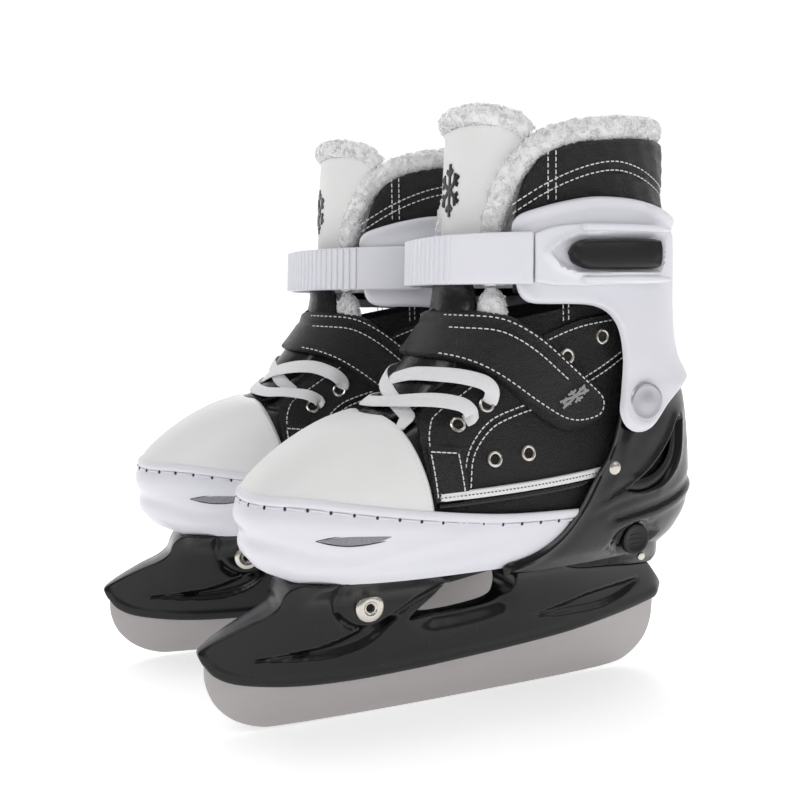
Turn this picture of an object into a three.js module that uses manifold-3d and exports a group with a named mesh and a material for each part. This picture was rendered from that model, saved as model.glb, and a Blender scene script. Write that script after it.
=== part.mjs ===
import * as THREE from "three";
import { mergeVertices } from "three/addons/utils/BufferGeometryUtils.js";
import Module from "manifold-3d";

// A pair of size-adjustable ice skates, in millimetres.
// Each skate is built as a left one, in its own frame: x towards the outer side of the foot,
// the toe towards -y, z up, and the blade on the ice at z = 0. The right one is its mirror image.

const wasm = await Module();
wasm.setup();

// ---- clearances ----
const gap = 0.3;
const runningGap = 0.8;

// ---- the pair ----
const pairLead = 31;
const pairToeOut = (6 * Math.PI) / 180;
const pairClear = 8;

// ---- boot, the surface that every shell is offset from ----
const toeFront = -116;
const heelRear = 126;
const ballHalf = 43;
const ankleHalf = 36;
const soleZ = 79;
const instepZ = 150;
const instepFront = -50;
const ankleZ = 206;
const ankleFront = -12;
const ankleRear = 107.5;
const shaftTop = 330;
const widestLow = -20;
const ringCount = 16;
const ringPower = 2.4;
const bootWall = 3.5;
const laceWidth = 7;
const laceCrossZ = instepZ + 11;
const bootTopSlope = [[-60, -24], [-40, -20], [80, 1], [112, 0], [150, -2]];

// ---- toe shell and toe cap ----
const toeShellGap = 2.2;
const toeShellWall = 2.4;
const toeShellRear = 55;
const rim = [[-140, 118.3], [-97, 118], [-50, 111], [-20, 106.5], [35, 103], [80, 102]];
const capEdge = [[-38, 100], [-41, 124], [-45, 138], [-50, 150], [-52, 170]];
const insertStart = -88;
const insertEnd = -50;
const insertZ = 94;
const insertHeight = 5;
const insertDepth = 0.8;

// ---- heel shell ----
const heelShellGap = 0.5;
const heelShellWall = 2.3;
const heelFront = 23;
const heelTopZ = 166;
const rivetY = 60;
const rivetZ = 122;
const windowLow = [74, 113];
const windowHigh = [117, 142];
const windowBulge = 8;

// ---- cuff and its pivot ----
const cuffGap = 1.4;
const cuffWall = 2.6;
const pivotY = 79;
const pivotZ = 154;
const pivotBossR = 13;
const pivotShaftR = 4;
const pivotCapR = 10;
const pivotCapT = 2.5;
const armWall = 3.2;
const cuffWingZ = 204;
const cuffTopZ = 252;

// ---- strap and buckle ----
const strapLow = 213;
const strapHigh = 238;
const strapWall = 2.6;
const strapGap = 2.1;
const strapEnd = 13;
const strapRoot = 52;
const strapRivetR = 4.5;
const strapRivetY = strapRoot - 8;
const buckleLow = 212;
const buckleHigh = 242;
const buckleFront = 14;
const buckleRear = 90;
const cheekHeight = 5;
const leverFront = 29;
const leverWidth = 15;
const leverWall = 3.4;
const leverPinY = 81;
const leverPinR = 1.5;
const leverHubR = 3.4;

// ---- collar, lining and tongue ----
const collarWall = 6;
const collarLow = 211;
const collarFront = 8;
const furWall = 5;
const furRoll = 12;
const tongueHalf = 26;
const tongueLow = 220;
const tongueHigh = 299;
const tongueWall = 6;

// ---- blade and holder ----
const bladeThick = 3;
const bladeFront = -138.5;
const bladeRear = 117;
const rockerR = 3000;
const rockerFlat = 60;
const rockerMid = -22;
const holderNose = -141.5;
const holderTail = 120.5;
const holderBottomHalf = 5;
const holderTopHalf = 27;
const holderGrip = 8;
const boltY = -60;
const boltZ = 58;
const boltShaftR = 2.5;
const boltHeadR = 7.2;
const boltHeadT = 2.4;
const boltBossHalf = 14;

// ---- size adjuster ----
const railHalf = 12;
const railFront = 26;
const railRear = 104;
const railTopZ = 69;
const towerTopZ = 61.5;
const heelBaseFront = 38;
const heelBaseRear = 112;
const heelBaseHalf = 20;
const buttonY = 79;
const buttonZ = 82;
const buttonR = 8;
const buttonLength = 6.2;
const buttonProud = 2.5;
const buttonTravel = 2.5;
const pinR = 2.2;
const pinLength = 12;
const pinBack = 6;
const pinDrop = 10.5;

// ---- what the shells are offset by, from the boot outwards ----
const toeShellIn = toeShellGap;
const toeShellOut = toeShellIn + toeShellWall;
const heelShellIn = toeShellOut + heelShellGap;
const heelShellOut = heelShellIn + heelShellWall;
const cuffIn = heelShellOut + cuffGap;
const cuffOut = cuffIn + cuffWall;
const strapIn = cuffOut + strapGap;
const strapOut = strapIn + strapWall;
const sole = soleZ - toeShellOut - gap;

// ---- helpers ----
function solid(geometry) {
  const bare = geometry.clone();
  bare.deleteAttribute("normal");
  bare.deleteAttribute("uv");
  const merged = mergeVertices(bare, 1e-4);
  const vertProperties = new Float32Array(merged.attributes.position.array);
  const triVerts = new Uint32Array(merged.index.array);
  return new wasm.Manifold(new wasm.Mesh({ numProp: 3, vertProperties, triVerts }));
}

function outline(points) {
  return new THREE.Shape(points.map(([a, b]) => new THREE.Vector2(a, b)));
}

function prism(shape, depth) {
  return new THREE.ExtrudeGeometry(shape, { depth, bevelEnabled: false, curveSegments: 8 });
}

// A side-view outline in (y, z), as thick as x0 to x1.
function sideSlab(points, x0 = -90, x1 = 90) {
  const turned = new THREE.Matrix4().makeBasis(
    new THREE.Vector3(0, 1, 0), new THREE.Vector3(0, 0, 1), new THREE.Vector3(1, 0, 0));
  turned.setPosition(x0, 0, 0);
  return solid(prism(outline(points), x1 - x0).applyMatrix4(turned));
}

// A front-view outline in (x, z), from y0 to y1.
function frontSlab(points, y0, y1) {
  const turned = new THREE.Matrix4().makeBasis(
    new THREE.Vector3(1, 0, 0), new THREE.Vector3(0, 0, 1), new THREE.Vector3(0, -1, 0));
  turned.setPosition(0, y1, 0);
  return solid(prism(outline(points), y1 - y0).applyMatrix4(turned));
}

// A plan outline in (x, y), from z0 to z1.
function planSlab(points, z0, z1) {
  return solid(prism(outline(points), z1 - z0).translate(0, 0, z0));
}

function block(x0, x1, y0, y1, z0, z1) {
  const box = new THREE.BoxGeometry(x1 - x0, y1 - y0, z1 - z0);
  return solid(box.translate((x0 + x1) / 2, (y0 + y1) / 2, (z0 + z1) / 2));
}

// A round bar across the skate, centred at (y, z).
function crossBar(radius, x0, x1, y, z, sides = 16) {
  const bar = new THREE.CylinderGeometry(radius, radius, x1 - x0, sides);
  bar.rotateZ(-Math.PI / 2);
  return solid(bar.translate((x0 + x1) / 2, y, z));
}

// A turned piece whose profile is [radius, distance along x] from one end to the other.
function turnedX(profile, x, y, z, side = 1, sides = 16) {
  const points = profile.map(([r, d]) => new THREE.Vector2(r, d));
  const lathe = new THREE.LatheGeometry(points, sides);
  lathe.rotateZ(side > 0 ? -Math.PI / 2 : Math.PI / 2);
  return solid(lathe.translate(x, y, z));
}

// An upright round bar.
function post(radius, x, y, z0, z1, sides = 14) {
  const bar = new THREE.CylinderGeometry(radius, radius, z1 - z0, sides);
  bar.rotateX(Math.PI / 2);
  return solid(bar.translate(x, y, (z0 + z1) / 2));
}

function lineAt(points, t) {
  let i = 0;
  while (i < points.length - 2 && t > points[i + 1][0]) i += 1;
  const [a, b] = [points[i], points[i + 1]];
  return a[1] + ((b[1] - a[1]) * (t - a[0])) / (b[0] - a[0]);
}

// ---- the boot's surface, as level rings ----
function level(z, front, rear, half, lift) {
  const climb = THREE.MathUtils.clamp((z - 118) / 52, 0, 1);
  const wide = THREE.MathUtils.lerp(widestLow, (front + rear) / 2, climb);
  return { z, front, rear, half, lift, wide };
}

const levels = [
  level(soleZ, toeFront + 21, heelRear - 18, ballHalf - 15, -1),
  level(soleZ + 6, toeFront + 7, heelRear - 9, ballHalf - 7, -0.6),
  level(soleZ + 16, toeFront + 1, heelRear - 1.5, ballHalf - 2, -0.1),
  level(soleZ + 29, toeFront, heelRear, ballHalf, 0),
  level(soleZ + 39, toeFront + 3, heelRear - 0.5, ballHalf, 0.1),
  level(soleZ + 49, toeFront + 15, heelRear - 1.5, ballHalf - 1, 0.6),
  level(instepZ - 11, instepFront - 32, heelRear - 3, ballHalf - 3, 0.9),
  level(instepZ - 5, instepFront - 18, heelRear - 4, ballHalf - 4.5, 0.95),
  level(instepZ, instepFront, heelRear - 5.5, ankleHalf + 1.5, 0.9),
  level(instepZ + 10, instepFront + 10, heelRear - 11, ankleHalf + 0.5, 0.6),
  level(ankleZ - 34, ankleFront - 20, ankleRear + 2, ankleHalf, 0.4),
  level(ankleZ, ankleFront, ankleRear, ankleHalf - 1, 0),
  level(ankleZ + 60, ankleFront + 3, ankleRear - 3, ankleHalf - 1, 0),
  level(shaftTop, ankleFront + 8, ankleRear - 4, ankleHalf, 0),
];

function ring({ z, front, rear, half, lift, wide }, grow) {
  const points = [];
  for (let i = 0; i < ringCount; i += 1) {
    const angle = (2 * Math.PI * (i + 0.5)) / ringCount;
    const [c, s] = [Math.cos(angle), Math.sin(angle)];
    const reach = c < 0 ? wide - front + grow : rear + grow - wide;
    const x = -(half + grow) * Math.sign(s) * Math.abs(s) ** (2 / ringPower);
    const y = wide + reach * Math.sign(c) * Math.abs(c) ** (2 / ringPower);
    points.push(new THREE.Vector3(x, y, z + lift * grow));
  }
  return points;
}

function loft(rings) {
  const count = rings[0].length;
  const flat = rings.flat();
  const index = [];
  for (let r = 0; r < rings.length - 1; r += 1) {
    for (let i = 0; i < count; i += 1) {
      const a = r * count + i;
      const b = r * count + ((i + 1) % count);
      index.push(a, b, b + count, a, b + count, a + count);
    }
  }
  const last = (rings.length - 1) * count;
  for (let i = 1; i < count - 1; i += 1) {
    index.push(0, i + 1, i);
    index.push(last, last + i, last + i + 1);
  }
  const geometry = new THREE.BufferGeometry().setFromPoints(flat);
  geometry.setIndex(index);
  return solid(geometry);
}

function bootForm(grow) {
  return loft(levels.map((one) => ring(one, grow)));
}

const forms = new Map();
function grown(grow) {
  if (!forms.has(grow)) forms.set(grow, bootForm(grow));
  return forms.get(grow);
}

function shell(inner, outer) {
  return grown(outer).subtract(grown(inner));
}

// Half width of the boot's surface at a point of its side view.
function halfAt(y, z, grow = 0) {
  const heights = levels.map((one) => one.z + one.lift * grow);
  let i = 0;
  while (i < levels.length - 2 && z > heights[i + 1]) i += 1;
  const [low, high] = [levels[i], levels[i + 1]];
  const t = (z - heights[i]) / (heights[i + 1] - heights[i]);
  const mix = (key) => THREE.MathUtils.lerp(low[key], high[key], t);
  const wide = mix("wide");
  const reach = y < wide ? wide - mix("front") + grow : mix("rear") + grow - wide;
  const u = Math.min(1, Math.abs(y - wide) / reach);
  return (mix("half") + grow) * (1 - u ** ringPower) ** (1 / ringPower);
}

// ---- materials ----
const finishes = {
  steel: { color: 0x8c8684, roughness: 0.35, metalness: 1 },
  nickel: { color: 0xb9b0a4, roughness: 0.25, metalness: 1 },
  blackPlastic: { color: 0x141415, roughness: 0.3, metalness: 0 },
  whitePlastic: { color: 0xe6e5ee, roughness: 0.4, metalness: 0 },
  greyPlastic: { color: 0x8f8f96, roughness: 0.6, metalness: 0 },
  silverPlastic: { color: 0xb4b4b9, roughness: 0.45, metalness: 0.4 },
  blackLeather: { color: 0x17171a, roughness: 0.5, metalness: 0 },
  whiteLeather: { color: 0xf1f0ee, roughness: 0.55, metalness: 0 },
  whiteLace: { color: 0xeeeef2, roughness: 0.85, metalness: 0 },
  fur: { color: 0xf5f5f5, roughness: 1, metalness: 0 },
  foam: { color: 0x3a3a3e, roughness: 0.9, metalness: 0 },
};

// ---- blade ----
function bladeBottom(y) {
  const past = Math.max(0, Math.abs(y - rockerMid) - rockerFlat / 2);
  return (past * past) / (2 * rockerR);
}

const holderEdge = [[-139, 36], [-122, 26], [-97, 20.5], [-68, 18.5], [-34, 19], [-7, 20.5],
  [24, 22.5], [60, 26], [92, 32], [115, 38]];

function bladeOutline(extra) {
  const low = [];
  const steps = 8;
  const start = bladeFront + 36;
  const end = bladeRear - 36;
  for (let i = 0; i <= steps; i += 1) {
    const y = start + ((end - start) * i) / steps;
    low.push([y, bladeBottom(y)]);
  }
  low.push([rockerMid - rockerFlat / 2, 0], [rockerMid + rockerFlat / 2, 0]);
  low.sort((a, b) => a[0] - b[0]);
  const high = [];
  for (let i = holderEdge.length - 1; i >= 0; i -= 1) {
    const [y, z] = holderEdge[i];
    if (y > bladeFront + 4 && y < bladeRear - 2) high.push([y, z + holderGrip + extra]);
  }
  return [
    ...low,
    [bladeRear - 17, 5.5], [bladeRear - 7, 13], [bladeRear - 1, 24], [bladeRear + extra, 34],
    ...high,
    [bladeFront - extra, 36 + extra], [bladeFront, 27], [bladeFront + 4.5, 17], [bladeFront + 13, 8],
    [bladeFront + 24, 2.5],
  ];
}

function bladeLug(extra) {
  return sideSlab(
    [[boltY - 12 - extra, 20], [boltY + 12 + extra, 20], [boltY + 8 + extra, boltZ + 7 + extra],
      [boltY - 8 - extra, boltZ + 7 + extra]],
    -bladeThick / 2 - extra, bladeThick / 2 + extra);
}

function makeBlade() {
  const plate = sideSlab(bladeOutline(0), -bladeThick / 2, bladeThick / 2);
  const hole = crossBar(boltShaftR + 1.2, -bladeThick, bladeThick, boltY, boltZ);
  return plate.add(bladeLug(0)).subtract(hole);
}

// ---- blade holder ----
function makeHolder() {
  const top = [
    [holderTail, 46], [holderTail - 8, 54], [holderTail - 16, towerTopZ], [heelFront + 6, towerTopZ],
    [heelFront - 2, sole], [-96, sole], [-102, 69], [-112, 62], [-127, 54.5], [holderNose, 44],
  ];
  const low = holderEdge.map(([y, z]) => [y, z]);
  const side = sideSlab([...low, ...top]);
  const section = frontSlab(
    [[-holderBottomHalf, 10], [holderBottomHalf, 10], [7.5, 40], [13, 57], [holderTopHalf, 69],
      [holderTopHalf, 90], [-holderTopHalf, 90], [-holderTopHalf, 69], [-13, 57], [-7.5, 40]],
    holderNose - 5, holderTail + 5);
  const plan = planSlab(
    [[3, holderNose - 1], [-3, holderNose - 1], [-9, -122], [-14, -106], [-30, -88], [-30, 70],
      [-16, 100], [-5, holderTail + 1], [5, holderTail + 1], [16, 100], [30, 70], [30, -88],
      [14, -106], [9, -122]],
    0, 100);
  const boss = crossBar(11, -boltBossHalf, boltBossHalf, boltY, boltZ, 14);
  const windowCut = sideSlab(
    [[-35, 47], [-12, 46.5], [10, 48.5], [21, 54.5], [19, 64], [9, 69], [-2, 64], [-14, 56]]);
  const e = gap;
  const slot = sideSlab(bladeOutline(e), -bladeThick / 2 - e, bladeThick / 2 + e);
  const bore = crossBar(boltShaftR + 1.2, -40, 40, boltY, boltZ);
  const seat = bothSides((s) => sideDisc(boltHeadR + 1.5, boltBossHalf, 60, boltY, boltZ, s, 14));
  return side.intersect(section).intersect(plan).add(boss).subtract(seat)
    .subtract(windowCut).subtract(slot).subtract(bladeLug(e)).subtract(bore);
}

function boltHead(side) {
  const dome = [[0, 0], [boltHeadR, 0], [boltHeadR, 1], [boltHeadR - 1.6, boltHeadT], [0, boltHeadT]];
  return turnedX(dome, side * (boltBossHalf + gap), boltY, boltZ, side, 14);
}

function makeBolt() {
  const shaft = crossBar(boltShaftR, -boltBossHalf + 1, boltBossHalf + 1, boltY, boltZ, 10);
  const socket = crossBar(2.6, boltBossHalf + 1.2, boltBossHalf + 6, boltY, boltZ, 6);
  return boltHead(1).add(shaft).subtract(socket);
}

function makeNut() {
  const sleeve = crossBar(boltShaftR + 0.9, -boltBossHalf - 1, -boltBossHalf + 6, boltY, boltZ, 10);
  const core = crossBar(boltShaftR + gap, -boltBossHalf + 0.4, -boltBossHalf + 8, boltY, boltZ, 10);
  return boltHead(-1).add(sleeve).subtract(core);
}

// ---- toe shell, cap and inserts ----
function insertOutline(extra) {
  const middle = (insertStart + insertEnd) / 2;
  const half = insertHeight / 2 + extra;
  return [[insertStart - 2 * extra, insertZ - 0.5], [middle - 8, insertZ - half],
    [middle + 6, insertZ - half], [insertEnd + 2 * extra, insertZ + 0.5],
    [middle + 6, insertZ + half], [middle - 8, insertZ + half]];
}

function makeToeShell() {
  const kept = sideSlab([[-160, 40], [toeShellRear, 40], [toeShellRear, lineAt(rim, toeShellRear)],
    ...rim.slice(0, 5).reverse()]);
  const skin = shell(toeShellIn, toeShellOut);
  const pocketSkin = shell(toeShellOut - insertDepth - gap, toeShellOut + 6);
  const pockets = [sideSlab(insertOutline(gap), 5, 90), sideSlab(insertOutline(gap), -90, -5)];
  const cut = pockets.map((one) => pocketSkin.intersect(one));
  return skin.intersect(kept).subtract(cut[0]).subtract(cut[1]);
}

function makeToeCap() {
  const front = rim.filter(([y]) => y < -45).map(([y, z]) => [y, z + gap]);
  const foot = capEdge[0][0];
  const kept = sideSlab([...front, [foot, lineAt(rim, foot) + gap], ...capEdge.slice(1), [-160, 190]]);
  return shell(toeShellIn, toeShellOut).intersect(kept);
}

function makeInsert(side) {
  const skin = shell(toeShellOut - insertDepth, toeShellOut + gap);
  const lens = side > 0 ? sideSlab(insertOutline(0), 5, 90) : sideSlab(insertOutline(0), -90, -5);
  return skin.intersect(lens);
}

// ---- boot ----
function makeBoot() {
  const top = bootTopSlope.map(([y, dz]) => [y, ankleZ + dz]);
  const kept = sideSlab([[-200, 0], [200, 0], [200, ankleZ - 2], ...top.slice().reverse(),
    [-200, ankleZ - 24]]);
  const dent = crossBar(buttonR + 1, buttonBack - buttonTravel - 2 * gap, 80, buttonY, buttonZ, 14);
  return shell(-bootWall, 0).intersect(kept).subtract(dent);
}

function makeFootbed() {
  const kept = block(-80, 80, -100, 130, 0, soleZ + bootWall + 4);
  const under = block(-80, 80, -200, 200, 0, soleZ + bootWall + gap);
  return grown(-bootWall - 2 * gap).intersect(kept).subtract(under);
}

function makeTouchStrap() {
  const band = sideSlab([[-50, 172], [-40, 198], [-16, 201], [8, 197], [46, 168], [56, 158], [50, 147],
    [28, 146], [0, 164], [-24, 172]]);
  return shell(2 * gap, 3.4).intersect(band);
}

function makeLaces() {
  const half = laceWidth / 2;
  const run = (low, high) => frontSlab([[-34, low - half], [0, laceCrossZ - half], [34, high - half],
    [34, high + half], [0, laceCrossZ + half], [-34, low + half]], instepFront + 3, -12);
  const cross = run(instepZ - 2, instepZ + 6).add(run(instepZ + 6, instepZ - 2));
  return shell(2 * gap, 2.6).intersect(cross);
}

// ---- heel shell ----
function windowOutline() {
  const [y0, z0] = windowLow;
  const [y1, z1] = windowHigh;
  const along = new THREE.Vector2(y1 - y0, z1 - z0).normalize();
  const points = [];
  for (let i = 0; i <= 5; i += 1) {
    const t = i / 5;
    const bow = windowBulge * 4 * t * (1 - t);
    points.push([y0 + (y1 - y0) * t + along.y * bow, z0 + (z1 - z0) * t - along.x * bow]);
  }
  for (let i = 4; i >= 1; i -= 1) {
    const t = i / 5;
    const bow = 3 * t * (1 - t) * 4;
    points.push([y0 + (y1 - y0) * t - along.y * bow, z0 + (z1 - z0) * t + along.x * bow]);
  }
  return points;
}

const pivotFace = halfAt(pivotY, pivotZ, heelShellOut);
const armInner = pivotFace + runningGap;
const armOuter = armInner + armWall;

function bothSides(make) {
  return make(1).add(make(-1));
}

function sideDisc(radius, x0, x1, y, z, side, sides = 12) {
  return side > 0 ? crossBar(radius, x0, x1, y, z, sides) : crossBar(radius, -x1, -x0, y, z, sides);
}

const rivetFace = halfAt(rivetY, rivetZ, heelShellOut) - 1.2;
const buttonFace = halfAt(buttonY, buttonZ, heelShellOut) + buttonProud;
const buttonBack = buttonFace - buttonLength;

function makeHeelShell() {
  const kept = sideSlab([[heelFront, 60], [heelFront, 84], [heelFront + 13, 98], [heelFront + 25, 116],
    [heelFront + 40, 138], [pivotY - 12, pivotZ], [pivotY - 9, pivotZ + 9], [pivotY, pivotZ + pivotBossR],
    [pivotY + 9, pivotZ + 9], [pivotY + 22, pivotZ + 2], [140, heelTopZ], [145, 60]]);
  const boss = bothSides((s) => sideDisc(pivotBossR, pivotFace - 3.4, pivotFace, pivotY, pivotZ, s));
  const shave = bothSides((s) => sideDisc(pivotBossR + 1.5, pivotFace, pivotFace + 20, pivotY, pivotZ, s));
  const windows = sideSlab(windowOutline(), 8, 90).add(sideSlab(windowOutline(), -90, -8));
  const base = sideSlab([[heelBaseFront, towerTopZ + gap], [heelBaseFront, soleZ - heelShellIn - 0.2],
    [heelBaseRear, soleZ - heelShellIn - 0.2], [heelBaseRear - 6, towerTopZ + gap]],
    -heelBaseHalf, heelBaseHalf);
  const channel = block(-railHalf - gap, railHalf + gap, 0, 200, 0, railTopZ + gap);
  const bores = bothSides((s) => sideDisc(pivotShaftR + gap, 20, 80, pivotY, pivotZ, s, 12));
  const footSeat = bothSides((s) => sideDisc(pivotShaftR + 2, 20, pivotFace - 3.4, pivotY, pivotZ, s, 12));
  const buttonBore = crossBar(buttonR + 0.4, 24, 80, buttonY, buttonZ, 14);
  const pinBore = crossBar(pinR + 0.5, 10, 80, buttonY + pinBack, buttonZ - pinDrop, 10);
  const rivetBores = bothSides((s) => sideDisc(2.1, 20, 80, rivetY, rivetZ, s, 8));
  const rivetSeats = bothSides((s) => sideDisc(4.1, rivetFace, 80, rivetY, rivetZ, s, 10));
  return shell(heelShellIn, heelShellOut).intersect(kept).add(base).add(boss.subtract(grown(gap)))
    .subtract(shave).subtract(windows).subtract(channel).subtract(bores).subtract(footSeat)
    .subtract(buttonBore).subtract(pinBore).subtract(rivetBores).subtract(rivetSeats);
}

// ---- rivets ----
function makeHeelRivet(side) {
  const face = rivetFace + gap;
  const dome = [[0, 0], [3.6, 0], [3.6, 0.8], [2.4, 1.8], [0, 2.1]];
  const head = turnedX(dome, side * face, rivetY, rivetZ, side, 10);
  return head.add(sideDisc(1.7, face - 3, face + 0.5, rivetY, rivetZ, side, 8));
}

function makePivotRivet(side) {
  const face = armOuter + gap;
  const disc = [[0, 0], [pivotCapR, 0], [pivotCapR, 1.2], [pivotCapR - 2, pivotCapT], [0, pivotCapT]];
  const cap = turnedX(disc, side * face, pivotY, pivotZ, side, 16);
  const shaft = sideDisc(pivotShaftR, pivotFace - 4.6, face + 0.5, pivotY, pivotZ, side, 10);
  const foot = sideDisc(pivotShaftR + 1.5, pivotFace - 5.2, pivotFace - 3.4 - gap, pivotY, pivotZ, side, 10);
  return cap.add(shaft).add(foot);
}

// ---- size adjuster ----
function makeRail() {
  const notch = (i) => block(-railHalf - 2, railHalf + 2, railFront + 14 + 10 * i, railFront + 18 + 10 * i,
    railTopZ - 3, railTopZ + 2);
  let rail = block(-railHalf, railHalf, railFront + 6, railRear, towerTopZ + gap, railTopZ);
  for (let i = 0; i < 5; i += 1) rail = rail.subtract(notch(i));
  return rail;
}

function makeButton() {
  return turnedX([[0, 0], [buttonR - 0.4, 0], [buttonR, 0.6], [buttonR, buttonLength - 1.4],
    [buttonR - 2, buttonLength], [0, buttonLength]], buttonBack, buttonY, buttonZ, 1, 14);
}

function makeLockPin() {
  const outer = buttonFace - buttonProud - 1;
  return crossBar(pinR, outer - pinLength, outer, buttonY + pinBack, buttonZ - pinDrop, 12);
}

// ---- cuff ----
function cuffOutline() {
  return [[pivotY - 13, pivotZ], [pivotY - 12, pivotZ + 26], [pivotY - 16, cuffWingZ - 4],
    [pivotY - 28, cuffWingZ], [13, cuffWingZ], [8, cuffWingZ + 6], [5, cuffTopZ - 7], [24, cuffTopZ],
    [46, cuffTopZ + 3], [76, cuffTopZ + 2], [106, cuffTopZ - 4], [150, cuffTopZ - 6], [150, pivotZ + 16],
    [pivotY + 28, pivotZ + 8], [pivotY + 13, pivotZ]];
}

function makeCuff() {
  const boss = bothSides((s) => sideDisc(pivotBossR, armInner, armOuter, pivotY, pivotZ, s));
  const clear = bothSides((s) => sideDisc(pivotBossR + 3, 20, armInner, pivotY, pivotZ, s));
  const proud = bothSides((s) => sideDisc(pivotBossR, armOuter, 90, pivotY, pivotZ, s));
  const bores = bothSides((s) => sideDisc(pivotShaftR + gap, 20, 90, pivotY, pivotZ, s));
  return shell(cuffIn, cuffOut).intersect(sideSlab(cuffOutline())).add(boss)
    .subtract(clear).subtract(proud).subtract(bores);
}

// ---- strap, buckle and lever ----
const strapMid = (strapLow + strapHigh) / 2;

function makeStrap() {
  const outerSide = block(-1, 90, -60, strapEnd, strapLow, strapHigh);
  const innerSide = block(-90, 1, -60, strapRoot, strapLow, strapHigh);
  const rivetHole = crossBar(2.3, -90, -20, strapRivetY, strapMid, 12);
  return shell(strapIn, strapOut).intersect(outerSide.add(innerSide)).subtract(rivetHole);
}

function makeStrapRivet() {
  const y = strapRivetY;
  const face = halfAt(y, strapMid, strapOut) + gap + 0.4;
  const dome = [[0, 0], [strapRivetR, 0], [strapRivetR - 1, 1.4], [0, 1.8]];
  const head = turnedX(dome, -face, y, strapMid, -1, 10);
  return head.add(crossBar(1.9, -face - 0.5, -face + strapWall, y, strapMid, 10));
}

const leverIn = strapOut + 1;
const leverPinX = halfAt(leverPinY, strapMid, leverIn) + leverHubR - 0.2;

function makeBuckleBase() {
  const plate = shell(cuffOut + gap, strapOut - 0.2)
    .intersect(block(5, 90, buckleFront, buckleRear, buckleLow, buckleHigh));
  const cheek = (z0) => shell(cuffOut + gap, leverIn + 5)
    .intersect(block(5, 90, buckleFront + 14, buckleRear, z0, z0 + cheekHeight));
  const bore = post(leverPinR + gap, leverPinX, leverPinY, buckleLow - 1, buckleHigh + 1);
  return plate.add(cheek(buckleLow)).add(cheek(buckleHigh - cheekHeight)).subtract(bore);
}

function makeLever() {
  const [low, high] = [strapMid + 1.5 - leverWidth / 2, strapMid + 1.5 + leverWidth / 2];
  const body = sideSlab([[leverFront + 5, low], [leverPinY, low], [leverPinY, high], [leverFront + 5, high],
    [leverFront + 1.4, high - 3.5], [leverFront, (low + high) / 2], [leverFront + 1.4, low + 3.5]], 5, 90);
  const hub = post(leverHubR, leverPinX, leverPinY, low, high);
  const bore = post(leverPinR + gap, leverPinX, leverPinY, low - 1, high + 1);
  return shell(leverIn, leverIn + leverWall).intersect(body).add(hub).subtract(bore);
}

function makeLeverPin() {
  return post(leverPinR, leverPinX, leverPinY, buckleLow + 0.5, buckleHigh - 0.5);
}

// ---- collar, lining and tongue ----
const collarTop = [[collarFront, 246], [24, 271], [60, 281], [100, 287], [140, 289]];

function throat(half) {
  return block(-half, half, -80, 35, 100, 340);
}

function makeCollar() {
  const kept = sideSlab([[collarFront, collarLow], [140, collarLow], ...collarTop.slice().reverse()]);
  return shell(0, collarWall).intersect(kept).subtract(throat(tongueHalf + 2));
}

function makeFur() {
  const low = collarLow + 3;
  const under = collarTop.map(([y, z]) => [y - 0.3, z + 2 * gap]);
  const over = collarTop.map(([y, z]) => [y, z + furRoll]).reverse();
  const roll = sideSlab([[-60, low], [collarFront - 0.6, low], ...under, ...over, [-10, 268], [-60, 262]]);
  const lining = sideSlab([[-60, low], [140, low], ...over, [-10, 268], [-60, 262]]);
  const skin = shell(-furWall, -gap).intersect(lining);
  return skin.add(shell(-furWall, collarWall).intersect(roll)).subtract(throat(tongueHalf + 1));
}

function makeTongue() {
  const kept = frontSlab([[-tongueHalf + 3, tongueLow], [tongueHalf - 3, tongueLow],
    [tongueHalf, tongueLow + 14], [tongueHalf, tongueHigh - 10], [tongueHalf - 6, tongueHigh],
    [6 - tongueHalf, tongueHigh], [-tongueHalf, tongueHigh - 10], [-tongueHalf, tongueLow + 14]], -80, 30);
  return shell(0, tongueWall).intersect(kept);
}

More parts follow.
